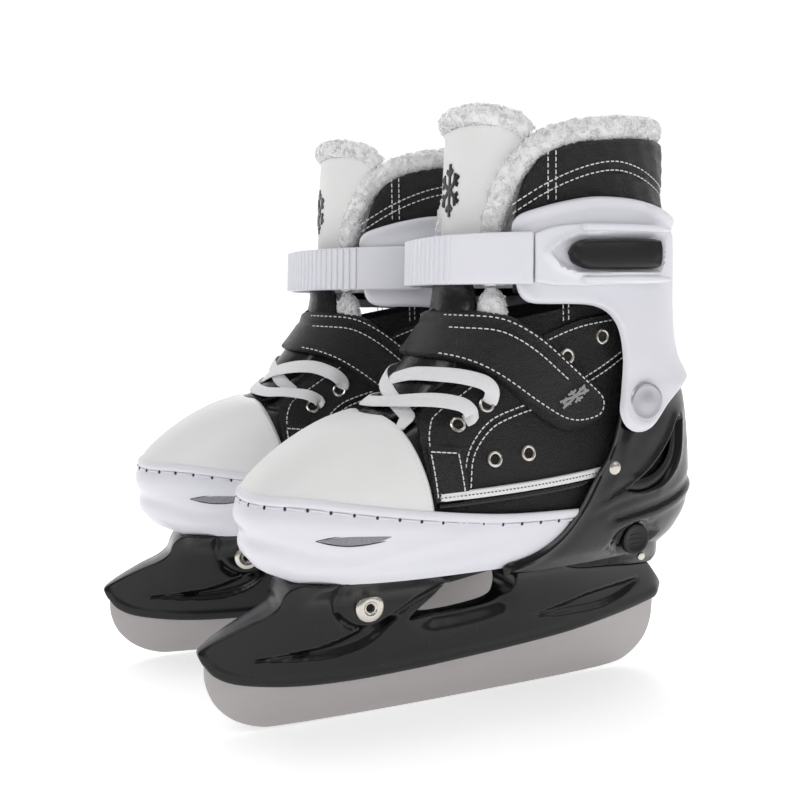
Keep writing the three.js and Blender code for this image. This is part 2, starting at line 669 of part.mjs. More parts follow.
// ---- assembly ----
function makeSkate(tag) {
  const group = new THREE.Group();
  const add = (name, made, finish) => {
    const { numProp, vertProperties, triVerts } = made.getMesh();
    const flat = new Float32Array((vertProperties.length / numProp) * 3);
    for (let i = 0; i < flat.length / 3; i += 1) {
      flat.set(vertProperties.subarray(i * numProp, i * numProp + 3), i * 3);
    }
    const geometry = new THREE.BufferGeometry();
    geometry.setAttribute("position", new THREE.BufferAttribute(flat, 3));
    geometry.setIndex(new THREE.BufferAttribute(new Uint32Array(triVerts), 1));
    const mesh = new THREE.Mesh(geometry, new THREE.MeshStandardMaterial(finishes[finish]));
    mesh.name = `${name}_${tag}`;
    group.add(mesh);
  };
  add("blade", makeBlade(), "steel");
  add("blade_holder", makeHolder(), "blackPlastic");
  add("blade_bolt", makeBolt(), "nickel");
  add("blade_nut", makeNut(), "nickel");
  add("toe_shell", makeToeShell(), "whitePlastic");
  add("toe_cap", makeToeCap(), "whiteLeather");
  add("toe_insert_outer", makeInsert(1), "greyPlastic");
  add("toe_insert_inner", makeInsert(-1), "greyPlastic");
  add("size_rail", makeRail(), "blackPlastic");
  add("heel_shell", makeHeelShell(), "blackPlastic");
  add("boot_upper", makeBoot(), "blackLeather");
  add("footbed", makeFootbed(), "foam");
  add("touch_strap", makeTouchStrap(), "blackLeather");
  add("laces", makeLaces(), "whiteLace");
  add("heel_rivet_outer", makeHeelRivet(1), "nickel");
  add("heel_rivet_inner", makeHeelRivet(-1), "nickel");
  add("pivot_rivet_outer", makePivotRivet(1), "silverPlastic");
  add("pivot_rivet_inner", makePivotRivet(-1), "silverPlastic");
  add("size_button", makeButton(), "blackPlastic");
  add("lock_pin", makeLockPin(), "steel");
  add("cuff", makeCuff(), "whitePlastic");
  add("collar", makeCollar(), "blackLeather");
  add("fur_lining", makeFur(), "fur");
  add("tongue", makeTongue(), "whiteLeather");
  add("buckle_base", makeBuckleBase(), "whitePlastic");
  add("lever_pin", makeLeverPin(), "steel");
  add("buckle_lever", makeLever(), "blackPlastic");
  add("ratchet_strap", makeStrap(), "whitePlastic");
  add("strap_rivet", makeStrapRivet(), "nickel");
  return group;
}

// The skates stand a clearance apart at their widest, which is the strap, or the ball of a wide boot.
const strapHalf = halfAt(strapRivetY, strapMid, strapOut) + 2;
const widestHalf = Math.max(strapHalf, ballHalf + heelShellOut + 1);
const left = makeSkate("l");
const right = makeSkate("r");
right.scale.x = -1;
right.rotation.z = -pairToeOut;
right.position.set(-2 * widestHalf - pairClear, -pairLead, 0);

const group = new THREE.Group();
group.add(left, right);
group.updateMatrixWorld(true);
const middle = new THREE.Box3().setFromObject(group, true).getCenter(new THREE.Vector3());
left.position.x -= middle.x;
left.position.y -= middle.y;
right.position.x -= middle.x;
right.position.y -= middle.y;
group.updateMatrixWorld(true);

export default group;
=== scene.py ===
# %% [markdown]
# # A pair of ice skates
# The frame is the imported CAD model: every piece built here sits on it, in metres, and moves with
# one of its bodies. The two skates mirror each other, so each piece is made once as a left-hand
# mesh in millimetres, and then placed twice.

# %% Load the frame
import math

import bpy
import numpy as np
from mathutils import Matrix, Vector
from mathutils.geometry import delaunay_2d_cdt


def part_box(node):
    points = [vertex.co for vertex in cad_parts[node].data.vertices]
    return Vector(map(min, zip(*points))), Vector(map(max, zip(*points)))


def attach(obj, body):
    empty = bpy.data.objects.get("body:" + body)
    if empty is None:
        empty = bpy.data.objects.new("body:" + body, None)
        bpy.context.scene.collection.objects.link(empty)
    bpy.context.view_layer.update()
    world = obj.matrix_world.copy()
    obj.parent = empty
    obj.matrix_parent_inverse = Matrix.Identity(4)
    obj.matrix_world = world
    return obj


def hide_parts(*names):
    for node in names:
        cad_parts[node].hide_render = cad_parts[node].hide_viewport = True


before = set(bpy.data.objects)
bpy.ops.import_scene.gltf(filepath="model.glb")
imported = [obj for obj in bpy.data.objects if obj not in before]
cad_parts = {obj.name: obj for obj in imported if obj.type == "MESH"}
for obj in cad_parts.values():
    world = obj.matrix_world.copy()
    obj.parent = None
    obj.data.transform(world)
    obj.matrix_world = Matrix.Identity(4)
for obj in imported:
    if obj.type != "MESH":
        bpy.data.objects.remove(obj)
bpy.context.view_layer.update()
scene = bpy.context.scene
rng = np.random.default_rng(11)

# %% [markdown]
# ## Where each skate stands
# The left skate's own frame has x towards the outer side of the foot, the toe towards -y, and the
# blade on the ice at z = 0. The blade runs straight along it, so the blade's box in the frame
# gives the skate's place. The right skate is the mirror image, toed out by a few degrees.

# %% Place of the left and the right skate
MM = 0.001
BLADE_FRONT, BLADE_REAR, BLADE_THICK = -138.5, 117.0, 3.0
TOE_OUT = math.radians(6)


def middle(node):
    low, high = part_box(node)
    return (Vector(low) + Vector(high)) / 2


blade_middle = Matrix.Scale(MM, 4) @ Vector((0, (BLADE_FRONT + BLADE_REAR) / 2, 0))
turn_right = Matrix.Rotation(-TOE_OUT, 4, "Z") @ Matrix.Diagonal((-1, 1, 1, 1))
left_at = middle("blade_l") - blade_middle
right_at = middle("blade_r") - turn_right @ blade_middle
left_at.z = right_at.z = 0
SKATES = {
    "l": Matrix.Translation(left_at) @ Matrix.Scale(MM, 4),
    "r": Matrix.Translation(right_at) @ turn_right @ Matrix.Scale(MM, 4),
}
print("left at", left_at, "right at", right_at)

# %% [markdown]
# ## Camera
# A short portrait lens, 0.2 m above the ice and half a metre from the skates, turned from their
# outer side towards their toes, and looking a little down.

# %% Camera
eye = SKATES["l"] @ Vector((439.5, -216.4, 202.9))
yaw, pitch, roll = -1.182, -0.096, -0.016
ahead = Vector((math.sin(yaw) * math.cos(pitch), math.cos(yaw) * math.cos(pitch), math.sin(pitch)))
across = ahead.cross(Vector((0, 0, 1))).normalized()
up = across.cross(ahead)
right_dir = math.cos(roll) * across + math.sin(roll) * up
up_dir = math.cos(roll) * up - math.sin(roll) * across
camera_data = bpy.data.cameras.new("camera")
camera_data.lens, camera_data.sensor_width = 42.9, 36
camera = bpy.data.objects.new("camera", camera_data)
camera.matrix_world = Matrix.Translation(eye) @ Matrix((right_dir, up_dir, -ahead)).transposed().to_4x4()
scene.collection.objects.link(camera)
scene.camera = camera
print("camera at", tuple(round(v, 3) for v in eye))

# %% [markdown]
# ## Small mesh tools
# A mesh here is a pair: an array of points, and a list of face arrays, each with the same number
# of corners per face. Numpy keeps the code short and quick where there are thousands of stitches.


# %% Joining, smoothing and resampling
def join(*meshes):
    """One mesh out of several."""
    points, faces, count = [], [], 0
    for verts, polys in meshes:
        points.append(np.asarray(verts, float))
        faces += [np.asarray(p) + count for p in polys if len(p)]
        count += len(verts)
    return np.concatenate(points), faces


def spline(xs, ys, x):
    """Smooth curve through the points (xs, ys) that never overshoots them."""
    xs, ys = np.asarray(xs, float), np.asarray(ys, float)
    gap, slope = np.diff(xs), np.diff(ys) / np.diff(xs)
    same = slope[:-1] * slope[1:] > 0
    total = np.where(same, slope[:-1] + slope[1:], 1)
    tangent = np.concatenate([slope[:1], np.where(same, 2 * slope[:-1] * slope[1:] / total, 0), slope[-1:]])
    i = np.clip(np.searchsorted(xs, x) - 1, 0, len(gap) - 1)
    t = np.clip((x - xs[i]) / gap[i], 0, 1)
    return (ys[i] * (1 + 2 * t) * (1 - t) ** 2 + ys[i + 1] * t * t * (3 - 2 * t)
            + gap[i] * t * (1 - t) * (tangent[i] * (1 - t) - tangent[i + 1] * t))


def resample(path, step, closed=False):
    """The same path with its points `step` apart."""
    path = np.asarray(path, float)
    if closed:
        path = np.concatenate([path, path[:1]])
    length = np.concatenate([[0], np.cumsum(np.linalg.norm(np.diff(path, axis=0), axis=1))])
    count = max(2, int(round(length[-1] / step)))
    at = np.linspace(0, length[-1], count + 1)
    out = np.stack([np.interp(at, length, path[:, k]) for k in range(path.shape[1])], -1)
    return out[:-1] if closed else out


def curved(points, step=1.0, closed=False):
    """A smooth path through a few points (a Catmull-Rom curve)."""
    p = np.asarray(points, float)
    if len(p) < 3:
        return resample(p, step)
    if closed:
        p = np.concatenate([p[-1:], p, p[:2]])
    else:
        p = np.concatenate([2 * p[:1] - p[1:2], p, 2 * p[-1:] - p[-2:-1]])
    t = np.linspace(0, 1, 16, endpoint=False)[:, None]
    out = []
    for a, b, c, d in zip(p[:-3], p[1:-2], p[2:-1], p[3:]):
        cubic = (3 * b - a - 3 * c + d) * t ** 3
        out.append(0.5 * (2 * b + (c - a) * t + (2 * a - 5 * b + 4 * c - d) * t ** 2 + cubic))
    return resample(np.concatenate(out + ([] if closed else [p[-2:-1]])), step, closed)


def unit(v):
    return v / np.maximum(np.linalg.norm(v, axis=-1, keepdims=True), 1e-9)


# %% [markdown]
# ## Sweeps, turned pieces and stamps
# Laces, beads and ribs are a section carried along a path. Rivets, eyelets and buttons are turned.
# Stitches and curls of fleece are one small mesh stamped at many places.


# %% Sweep, turn and stamp
def sweep(path, normals, section, closed=False):
    """Carries a closed section of (across, up) points along a path that lies on a surface."""
    path, normals = np.asarray(path, float), unit(np.asarray(normals, float))
    ahead_of = np.gradient(path, axis=0) if not closed else np.roll(path, -1, 0) - np.roll(path, 1, 0)
    side = unit(np.cross(unit(ahead_of), normals))
    section = np.asarray(section, float)
    if section.ndim == 2:
        section = np.repeat(section[None], len(path), 0)
    verts = path[:, None] + section[:, :, :1] * side[:, None] + section[:, :, 1:] * normals[:, None]
    n, k = section.shape[:2]
    i, j = np.meshgrid(np.arange(n if closed else n - 1), np.arange(k), indexing="ij")
    i2, j2 = (i + 1) % n, (j + 1) % k
    quads = np.stack([i * k + j, i * k + j2, i2 * k + j2, i2 * k + j], -1).reshape(-1, 4)
    faces = [quads[:, ::-1]]
    if not closed:
        faces += [np.arange(k)[None], (np.arange(k)[::-1] + (n - 1) * k)[None]]
    return verts.reshape(-1, 3), faces


def oval(width, height, count=10, power=2.0):
    t = np.linspace(0, 2 * np.pi, count, endpoint=False)
    c, s = np.cos(t), np.sin(t)
    return np.stack([np.sign(c) * np.abs(c) ** (2 / power) * width / 2,
                     np.sign(s) * np.abs(s) ** (2 / power) * height / 2], -1)


def axes_for(normal, hint=(0, 0, 1)):
    """Three unit directions at each place, with the third along the normal."""
    normal = unit(np.atleast_2d(np.asarray(normal, float)))
    first = unit(np.cross(np.broadcast_to(np.asarray(hint, float), normal.shape), normal))
    return np.stack([first, np.cross(normal, first), normal], 1)


def turned(profile, at, normal, sides=40, hint=(0, 0, 1)):
    """Turns a profile of (radius, height) points about the normal at a place."""
    profile = np.asarray(profile, float)
    t = np.linspace(0, 2 * np.pi, sides, endpoint=False)
    frame_of = axes_for(normal, hint)[0]
    ring = np.stack([np.cos(t), np.sin(t)], -1) @ frame_of[:2]
    verts = np.asarray(at, float) + profile[:, None, :1] * ring + profile[:, None, 1:] * frame_of[2]
    n, k = len(profile), sides
    i, j = np.meshgrid(np.arange(n - 1), np.arange(k), indexing="ij")
    quads = np.stack([i * k + j, i * k + (j + 1) % k, (i + 1) * k + (j + 1) % k, (i + 1) * k + j], -1)
    return verts.reshape(-1, 3), [quads.reshape(-1, 4)]


def stamp(shape, at, axes, size):
    """Copies a small mesh to each place, along its axes, scaled along each of them by size."""
    verts, faces = shape
    at, axes = np.asarray(at, float), np.asarray(axes, float)
    size = np.broadcast_to(np.asarray(size, float), (len(at), 3))
    out = at[:, None] + np.einsum("vk,nk,nkd->nvd", verts, size, axes)
    shift = np.arange(len(at))[:, None, None] * len(verts)
    faces = [(np.asarray(f)[None] + shift).reshape(-1, np.asarray(f).shape[1]) for f in faces]
    return out.reshape(-1, 3), faces


# %% [markdown]
# ## Putting a piece on both skates
# Mirroring turns faces inside out, so their corners are taken in reverse order on the right skate.
# Each piece rides on the body of its own skate, and can replace CAD nodes of that skate.


# %% Putting a piece on both skates
def body_name(body, tag):
    return "chassis" if body == "chassis" else f"{body}_{tag}"


def mesh_object(name, shape, finish, matrix=None, reverse=False, sharp=40):
    """A Blender object from a mesh in the skate's millimetres."""
    verts, faces = shape
    verts = np.asarray(verts, float)
    if matrix is not None:
        m = np.array(matrix)
        verts = verts @ m[:3, :3].T + m[:3, 3]
    faces = [np.asarray(f)[:, ::-1] if reverse else np.asarray(f) for f in faces if len(f)]
    data = bpy.data.meshes.new(name)
    data.vertices.add(len(verts))
    data.vertices.foreach_set("co", verts.ravel())
    loops = np.concatenate([f.ravel() for f in faces])
    totals = np.concatenate([np.full(len(f), f.shape[1]) for f in faces])
    data.loops.add(len(loops))
    data.loops.foreach_set("vertex_index", loops.astype(np.int32))
    data.polygons.add(len(totals))
    data.polygons.foreach_set("loop_start", np.concatenate([[0], np.cumsum(totals)[:-1]]).astype(np.int32))
    data.polygons.foreach_set("use_smooth", np.ones(len(totals), bool))
    data.update(calc_edges=True)
    data.validate()
    data.set_sharp_from_angle(angle=math.radians(sharp))
    for one in finish if isinstance(finish, (list, tuple)) else [finish]:
        data.materials.append(one)
    made = bpy.data.objects.new(name, data)
    scene.collection.objects.link(made)
    return made


def on_both(name, shape, finish, body, replaces=(), sharp=40):
    """Makes the piece on both skates and returns the two objects."""
    pair = []
    for tag, matrix in SKATES.items():
        made = mesh_object(f"{name}_{tag}", shape, finish, matrix, reverse=tag == "r", sharp=sharp)
        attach(made, body_name(body, tag))
        if replaces:
            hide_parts(*[f"{node}_{tag}" for node in replaces])
        pair.append(made)
    print(f"{name}: {len(shape[0])} points")
    return pair


# %% [markdown]
# ## Stuffed pieces
# Collar, tongue, strap and fleece are soft; stuffed() passes their pair through unchanged.

# %% Stuffed pieces
def stuffed(pair):
    """Returns both pieces unchanged."""
    return pair


# %% [markdown]
# ## The boot form
# Every shell of the skate hugs the same last, so one surface carries them all. Level rings give
# its toe, its heel and its half width, and smooth curves run between them. A place on it is an
# angle, from 0 at the toe round the outer side to pi at the heel, and a height.

# %% The boot form
LEVELS = np.array([  # height, toe, heel, half width, and how a thicker skin moves up or down
    (79, -95, 108, 28, -1), (85, -109, 117, 36, -.6), (95, -115, 124.5, 41, -.1), (108, -116, 126, 43, 0),
    (118, -113, 125.5, 43, .1), (128, -101, 124.5, 42, .6), (139, -82, 123, 40, .9),
    (145, -68, 122, 38.5, .95), (150, -50, 120.5, 37.5, .9), (160, -40, 115, 36.5, .6),
    (172, -32, 109.5, 36, .4), (206, -12, 107.5, 35, 0), (266, -9, 104.5, 35, 0),
    (330, -4, 103.5, 36, 0)], float)
SOLE_Z, TOP_Z = 79.0, 330.0
ROUND = 2 / 2.4
HEIGHTS = np.arange(SOLE_Z, TOP_Z + 0.1, 0.25)
TOE, HEEL, HALF, LIFT = (spline(LEVELS[:, 0], LEVELS[:, k], HEIGHTS) for k in (1, 2, 3, 4))
RISE = np.clip((HEIGHTS - 118) / 52, 0, 1)
WIDEST = -20 * (1 - RISE) + (TOE + HEEL) / 2 * RISE


def skin(angle, height, grow):
    """Points on the boot form, `grow` mm outside the leather."""
    toe, heel, half, lift, widest = (np.interp(height, HEIGHTS, t) for t in (TOE, HEEL, HALF, LIFT, WIDEST))
    c, s = np.cos(angle), np.sin(angle)
    reach = np.where(c > 0, widest - toe, heel - widest) + grow
    x = (half + grow) * np.sign(s) * np.abs(s) ** ROUND
    return np.stack([x, widest - reach * np.sign(c) * np.abs(c) ** ROUND, height + lift * grow], -1)


def locate(side_view, grow):
    """The (angle, height) of points seen from the outer side, given as (y, z)."""
    y, z = np.asarray(side_view, float).reshape(-1, 2).T
    height = np.interp(z, HEIGHTS + LIFT * grow, HEIGHTS)
    toe, heel, widest = (np.interp(height, HEIGHTS, t) for t in (TOE, HEEL, WIDEST))
    reach = np.where(y < widest, widest - toe, heel - widest) + grow
    c = np.clip(np.abs(y - widest) / reach, 0, 1) ** (1 / ROUND)
    return np.stack([np.where(y < widest, np.arccos(c), np.pi - np.arccos(c)), height], -1)


def skin_normal(angle, height, grow):
    d = 0.01
    along = skin(angle + d, height, grow) - skin(angle - d, height, grow)
    rise = skin(angle, height + 0.4, grow) - skin(angle, height - 0.4, grow)
    return unit(np.cross(along, rise))


def on_skin(side_view, grow, side=1):
    """Points and normals on the form for a path seen from the side; side -1 is the inner one."""
    spot = locate(side_view, grow)
    return skin(side * spot[:, 0], spot[:, 1], grow), skin_normal(side * spot[:, 0], spot[:, 1], grow)


print("half width over the ball", skin(np.array([1.57]), np.array([100.0]), 0)[0, 0].round(1), "mm")

# %% [markdown]
# ## Panels
# A shell or a piece of leather is a region of the form, with edges rolled down to what lies
# beneath. The region is filled with small triangles, because its outline may be any curve and may
# have windows, and the points near the edge follow a quarter round.


# %% Filling an outline with small triangles
def inside(points, loops):
    """Which points lie inside the loops; a loop within a loop is a hole."""
    hit = np.zeros(len(points), bool)
    for loop in loops:
        a, b = loop, np.roll(loop, -1, 0)
        for (x0, y0), (x1, y1) in zip(a, b):
            if y0 == y1:
                continue
            over = (y0 > points[:, 1]) != (y1 > points[:, 1])
            hit ^= over & (points[:, 0] < x0 + (points[:, 1] - y0) * (x1 - x0) / (y1 - y0))
    return hit


def nearest(points, line):
    """Distance from each point to the nearest point of a fine line."""
    best = np.full(len(points), 1e9)
    for start in range(0, len(line), 400):
        part = line[start:start + 400]
        best = np.minimum(best, np.sqrt(((points[:, None] - part[None]) ** 2).sum(-1)).min(1))
    return best


def region(loops, step, edge):
    """Triangulates the region between closed loops: points, triangles, and each loop's points."""
    loops = [resample(loop, min(step, 1.8), closed=True) for loop in loops]
    extra = []
    for loop in loops:
        along = unit(np.roll(loop, -1, 0) - np.roll(loop, 1, 0))
        for share in (0.12, 0.4, 0.75, 1.1):
            for sign in (1, -1):
                extra.append(loop + sign * share * edge * np.stack([-along[:, 1], along[:, 0]], -1))
    low, high = np.min(loops[0], 0), np.max(loops[0], 0)
    xs, ys = np.arange(low[0], high[0], step), np.arange(low[1], high[1], step * 0.87)
    grid = np.stack(np.meshgrid(xs, ys), -1)
    grid[1::2, :, 0] += step / 2
    grid = grid.reshape(-1, 2)
    fine = np.concatenate([resample(loop, 0.5, closed=True) for loop in loops])
    extra = np.concatenate(extra)
    extra = extra[inside(extra, loops)]
    extra = extra[nearest(extra, fine) > 0.1 * edge]
    grid = grid[inside(grid, loops)]
    grid = grid[nearest(grid, fine) > 1.1 * edge + step * 0.4]
    rims, first = [], 0
    for loop in loops:
        rims.append(np.arange(first, first + len(loop)))
        first += len(loop)
    points = np.concatenate(loops + [extra, grid])
    edges = [(int(a), int(b)) for rim in rims for a, b in zip(rim, np.roll(rim, -1))]
    verts, _, faces, origin, _, _ = delaunay_2d_cdt([Vector(p) for p in points], edges, [], 0, 1e-5)
    flat, tris = np.array([tuple(v) for v in verts]), np.array(faces)
    tris = tris[inside(flat[tris].mean(1), loops)]
    back = {old: new for new, olds in enumerate(origin) for old in olds}
    return flat, tris, [np.array([back[i] for i in rim]) for rim in rims]


def panel(loops, low, high, edge=1.6, step=3.0, keep=None, swell=None, scale=60.0):
    """A region of the boot form standing from low to high. Its edge is rounded, except where
    keep(points) says that it isn't an edge; swell(points) adds to the height, for ribs and grooves."""
    loops = [np.asarray(loop) * (scale, 1) for loop in loops]
    flat, tris, rims = region(loops, step, edge)
    angle, height = flat[:, 0] / scale, flat[:, 1]
    top, base = skin(angle, height, high), skin(angle, height, low)
    rim = np.concatenate(rims)
    if keep is not None:
        rim = rim[~keep(top[rim])]
    t = np.clip(nearest(top, top[rim]) / edge, 0, 1) if len(rim) else np.ones(len(top))
    t[rim] = 0
    if swell is not None:
        top = top + skin_normal(angle, height, high) * (swell(top) * t)[:, None]
    round_up = np.sqrt(1 - (1 - t) ** 2)[:, None]
    return base * (1 - round_up) + top * round_up, [tris]


def across_toe(half):
    """Closes a path over the outer side, from toe to toe, with its mirror image."""
    half = np.asarray(half, float)
    return np.concatenate([half, (half * (-1, 1))[::-1]])


def across_heel(half):
    """The same round the heel, for a path that starts and ends at pi."""
    half = np.asarray(half, float)
    half = half[half[:, 0] < np.pi - 0.012]
    half = np.concatenate([[(np.pi, half[0, 1])], half, [(np.pi, half[-1, 1])]])
    other = half[::-1].copy()
    other[:, 0] = 2 * np.pi - other[:, 0]
    return np.concatenate([half, other])


def seen_from_side(points, grow, step=1.0, closed=False, smooth=True):
    """A path drawn in the side view, laid on the form as (angle, height)."""
    path = curved(points, step, closed) if smooth else resample(points, step, closed)
    return locate(path, grow)


def side_panel(loop, low, high, side=1, **how):
    """A panel inside a closed side-view loop, on the outer side (1) or on the inner one (-1)."""
    return panel([seen_from_side(loop, high, smooth=False, closed=True) * (side, 1)], low, high, **how)


SIDES = ((1, "outer"), (-1, "inner"))

# %% [markdown]
# ## Finishes
# Each finish starts from the real material and how its surface was made. Colours are sRGB hex
# values, turned to linear by one function, and every pattern is given in millimetres.


# %% Colours and nodes
def rgb(code):
    """sRGB hex to the linear colour that shaders want."""
    parts = [int(code[i:i + 2], 16) / 255 for i in (1, 3, 5)]
    return tuple(v / 12.92 if v <= 0.04045 else ((v + 0.055) / 1.055) ** 2.4 for v in parts) + (1.0,)


def node(tree, kind, inputs=(), **settings):
    """Adds a shader node with its settings; a socket among the inputs is linked, a value is set."""
    made = tree.nodes.new("ShaderNode" + kind)
    for key, value in settings.items():
        setattr(made, key, value)
    for key, value in dict(inputs).items():
        if isinstance(value, bpy.types.NodeSocket):
            tree.links.new(value, made.inputs[key])
        else:
            made.inputs[key].default_value = value
    return made


def finish(name, colour, tint, rough, grain, grain_mm, deep_mm, metallic=0.0, stretch=(1, 1, 1),
           blotch_mm=30, **fixed):
    """A Principled material: its colour drifts from colour to tint, its roughness lies between the
    two values of rough, and its grain is grain_mm wide and deep_mm deep."""
    made = bpy.data.materials.new(name)
    made.use_nodes = True
    tree = made.node_tree
    tree.nodes.clear()
    place = node(tree, "TexCoord")
    in_mm = node(tree, "VectorMath", {0: place.outputs["Object"], 1: tuple(1000 * s for s in stretch)},
                 operation="MULTIPLY")
    drift = node(tree, "TexNoise", {"Vector": in_mm.outputs[0], "Scale": 1 / blotch_mm, "Detail": 3.0})
    fine = node(tree, "TexNoise", {"Vector": in_mm.outputs[0], "Scale": 1 / grain_mm, "Detail": 4.0})
    if grain == "cells":
        bent = node(tree, "VectorMath", {0: in_mm.outputs[0], 1: fine.outputs["Color"]}, operation="ADD")
        cells = node(tree, "TexVoronoi", {"Vector": bent.outputs[0], "Scale": 1 / grain_mm},
                     feature="DISTANCE_TO_EDGE")
        height = node(tree, "MapRange", {0: cells.outputs["Distance"], 1: 0.0, 2: 0.28}).outputs[0]
    elif grain == "weave":
        one, two = [node(tree, "TexWave", {"Vector": in_mm.outputs[0], "Scale": 0.32 / grain_mm,
                                           "Distortion": 0.6}, bands_direction=d).outputs["Fac"]
                    for d in "YZ"]
        height = node(tree, "Math", {0: one, 1: two}, operation="MULTIPLY").outputs[0]
    else:
        height = fine.outputs["Fac"]
    shade = node(tree, "Mix", {0: drift.outputs["Fac"], 6: rgb(colour), 7: rgb(tint)}, data_type="RGBA")
    gloss = node(tree, "MapRange", {0: fine.outputs["Fac"], 1: 0.3, 2: 0.7, 3: rough[0], 4: rough[1]})
    bump = node(tree, "Bump", {"Height": height, "Distance": deep_mm * MM, "Strength": 1.0})
    shader = node(tree, "BsdfPrincipled", {
        "Base Color": shade.outputs[2], "Roughness": gloss.outputs[0], "Normal": bump.outputs[0],
        "Metallic": metallic, **fixed})
    node(tree, "OutputMaterial", {"Surface": shader.outputs[0]})
    return made


# %% [markdown]
# The hard parts are injection-moulded: the black ones nylon, with a glossy skin and faint flow
# marks, and the white ones polypropylene, softer and slightly blue. The blade is stamped steel,
# ground along its length, so its scratches are long in y and short in z.

# %% Plastics and metals
black_nylon = finish("moulded_black_nylon", "#050506", "#0a0a0b", (0.17, 0.28), "noise", 7, 0.03,
                     **{"Specular IOR Level": 0.4})
black_satin = finish("spark_eroded_black_nylon", "#070708", "#0c0c0d", (0.3, 0.42), "noise", 1.2, 0.015,
                     **{"Specular IOR Level": 0.4})
white_pp = finish("moulded_white_polypropylene", "#e3e2ea", "#ebebf1", (0.30, 0.42), "noise", 2.5, 0.02,
                  blotch_mm=55, **{"Subsurface Weight": 0.08, "Subsurface Radius": (1, 1, 1),
                                   "Subsurface Scale": 0.002})
white_strap = finish("moulded_white_nylon", "#e6e6ee", "#eeeef4", (0.34, 0.46), "noise", 1.2, 0.02)
grey_insert = finish("stippled_grey_abs", "#7b7b82", "#a5a5ab", (0.45, 0.7), "cells", 0.9, 0.12,
                     blotch_mm=1.4)
silver_cap = finish("silver_lacquered_abs", "#b4b4ba", "#c2c2c8", (0.28, 0.38), "noise", 0.8, 0.01,
                    metallic=0.85)
ground_steel = finish("ground_steel", "#a7a2a2", "#b7b3b3", (0.36, 0.5), "noise", 0.7, 0.012, metallic=0.9,
                      stretch=(1, 0.03, 1.6), blotch_mm=60)
nickel = finish("nickel_plated_steel", "#d6d1ca", "#c6c0b8", (0.16, 0.3), "noise", 1.5, 0.015, metallic=1.0)
# Painted shade: a near-black matte finish put at the bottom of sockets and holes, where shade falls.
painted_shade_bore = finish("shadowed_bore", "#050505", "#090909", (0.7, 0.9), "noise", 1.0, 0.02)

# %% [markdown]
# The upper is coated (PU) leather: pebbled black over most of it, smooth black on the vamp, and a
# finer white one on the toe cap and the tongue. Pebbles are about 0.9 mm across. Laces are braided
# cotton, the thread is twisted polyester, and the lining is a curly polyester fleece.

# %% Leather, thread, lace and fleece
black_leather = finish("pebbled_black_coated_leather", "#060607", "#0c0c0e", (0.28, 0.42), "cells", 1.1, 0.32,
                       **{"Specular IOR Level": 0.5})
smooth_leather = finish("smooth_black_coated_leather", "#050506", "#0a0a0c", (0.2, 0.34), "noise", 3.5, 0.25,
                        **{"Specular IOR Level": 0.45})
white_leather = finish("smooth_white_coated_leather", "#eae9e9", "#f1f0ef", (0.4, 0.55), "cells", 1.3, 0.035,
                       blotch_mm=45)
inner_cloth = finish("black_lining_cloth", "#0b0b0c", "#131314", (0.8, 0.95), "weave", 0.9, 0.12)
white_lace = finish("braided_cotton_lace", "#e9e9ec", "#f6f6f7", (0.75, 0.9), "weave", 0.8, 0.22)
white_thread = finish("white_polyester_thread", "#dededf", "#ececec", (0.5, 0.7), "noise", 0.35, 0.08)
dark_thread = finish("black_polyester_thread", "#1c1c1e", "#28282a", (0.5, 0.7), "noise", 0.35, 0.08)
print_grey = finish("grey_rubber_print", "#8d8d8f", "#9a9a9c", (0.5, 0.6), "noise", 0.8, 0.02)
fleece = finish("curly_polyester_fleece", "#f9f9fb", "#ffffff", (0.9, 1.0), "noise", 1.6, 0.2,
                **{"Specular IOR Level": 0.08, "Sheen Weight": 0.25, "Sheen Roughness": 0.5,
                   "Subsurface Weight": 0.5, "Subsurface Radius": (1, 1, 1), "Subsurface Scale": 0.004})
foam_cloth = finish("brushed_grey_insole_cloth", "#2b2b2f", "#3a3a3f", (0.85, 0.97), "weave", 1.1, 0.15)
print(len(bpy.data.materials), "materials")

# %% [markdown]
# ## Plates seen from the side
# The blade and its holder are flat-sided pieces drawn in the side view, whose half thickness
# changes from place to place. The same triangles serve both faces, and a wall joins their rims.


# %% Plates
def plate(loop, half_thick, edge=1.0, step=3.0):
    """A plate drawn in the side view as (y, z), with its half thickness as a function of both."""
    flat, tris, rims = region([loop], step, edge)
    half = half_thick(flat[:, 0], flat[:, 1])
    rim = np.concatenate(rims)
    t = np.clip(nearest(flat, flat[rim]) / edge, 0, 1)
    t[rim] = 0
    half = half - np.minimum(edge, half * 0.6) * (1 - np.sqrt(1 - (1 - t) ** 2))
    verts = np.concatenate([np.column_stack([s * half, flat]) for s in (1, -1)])
    n = len(flat)
    walls = [np.column_stack([r, r + n, np.roll(r, -1) + n, np.roll(r, -1)]) for r in rims]
    return verts, [tris, tris[:, ::-1] + n, *walls]


def near_path(y, z, path, width):
    """1 on a path drawn in the side view, falling to 0 at `width` from it."""
    d = nearest(np.column_stack([y, z]), resample(path, 0.6))
    return np.exp(-(d / width) ** 2 * 2)


def within(y, z, loop, soft):
    """1 inside a loop, falling softly to 0 at its edge."""
    points = np.column_stack([y, z])
    fine = resample(loop, 0.6, closed=True)
    return np.where(inside(points, [fine]), np.clip(nearest(points, fine) / soft, 0, 1), 0) ** 0.7


# %% [markdown]
# ## Blade
# A hockey-style runner: 3 mm of stamped steel with round ends, ground to a very slight rocker, so
# that it touches the ice only along its middle.

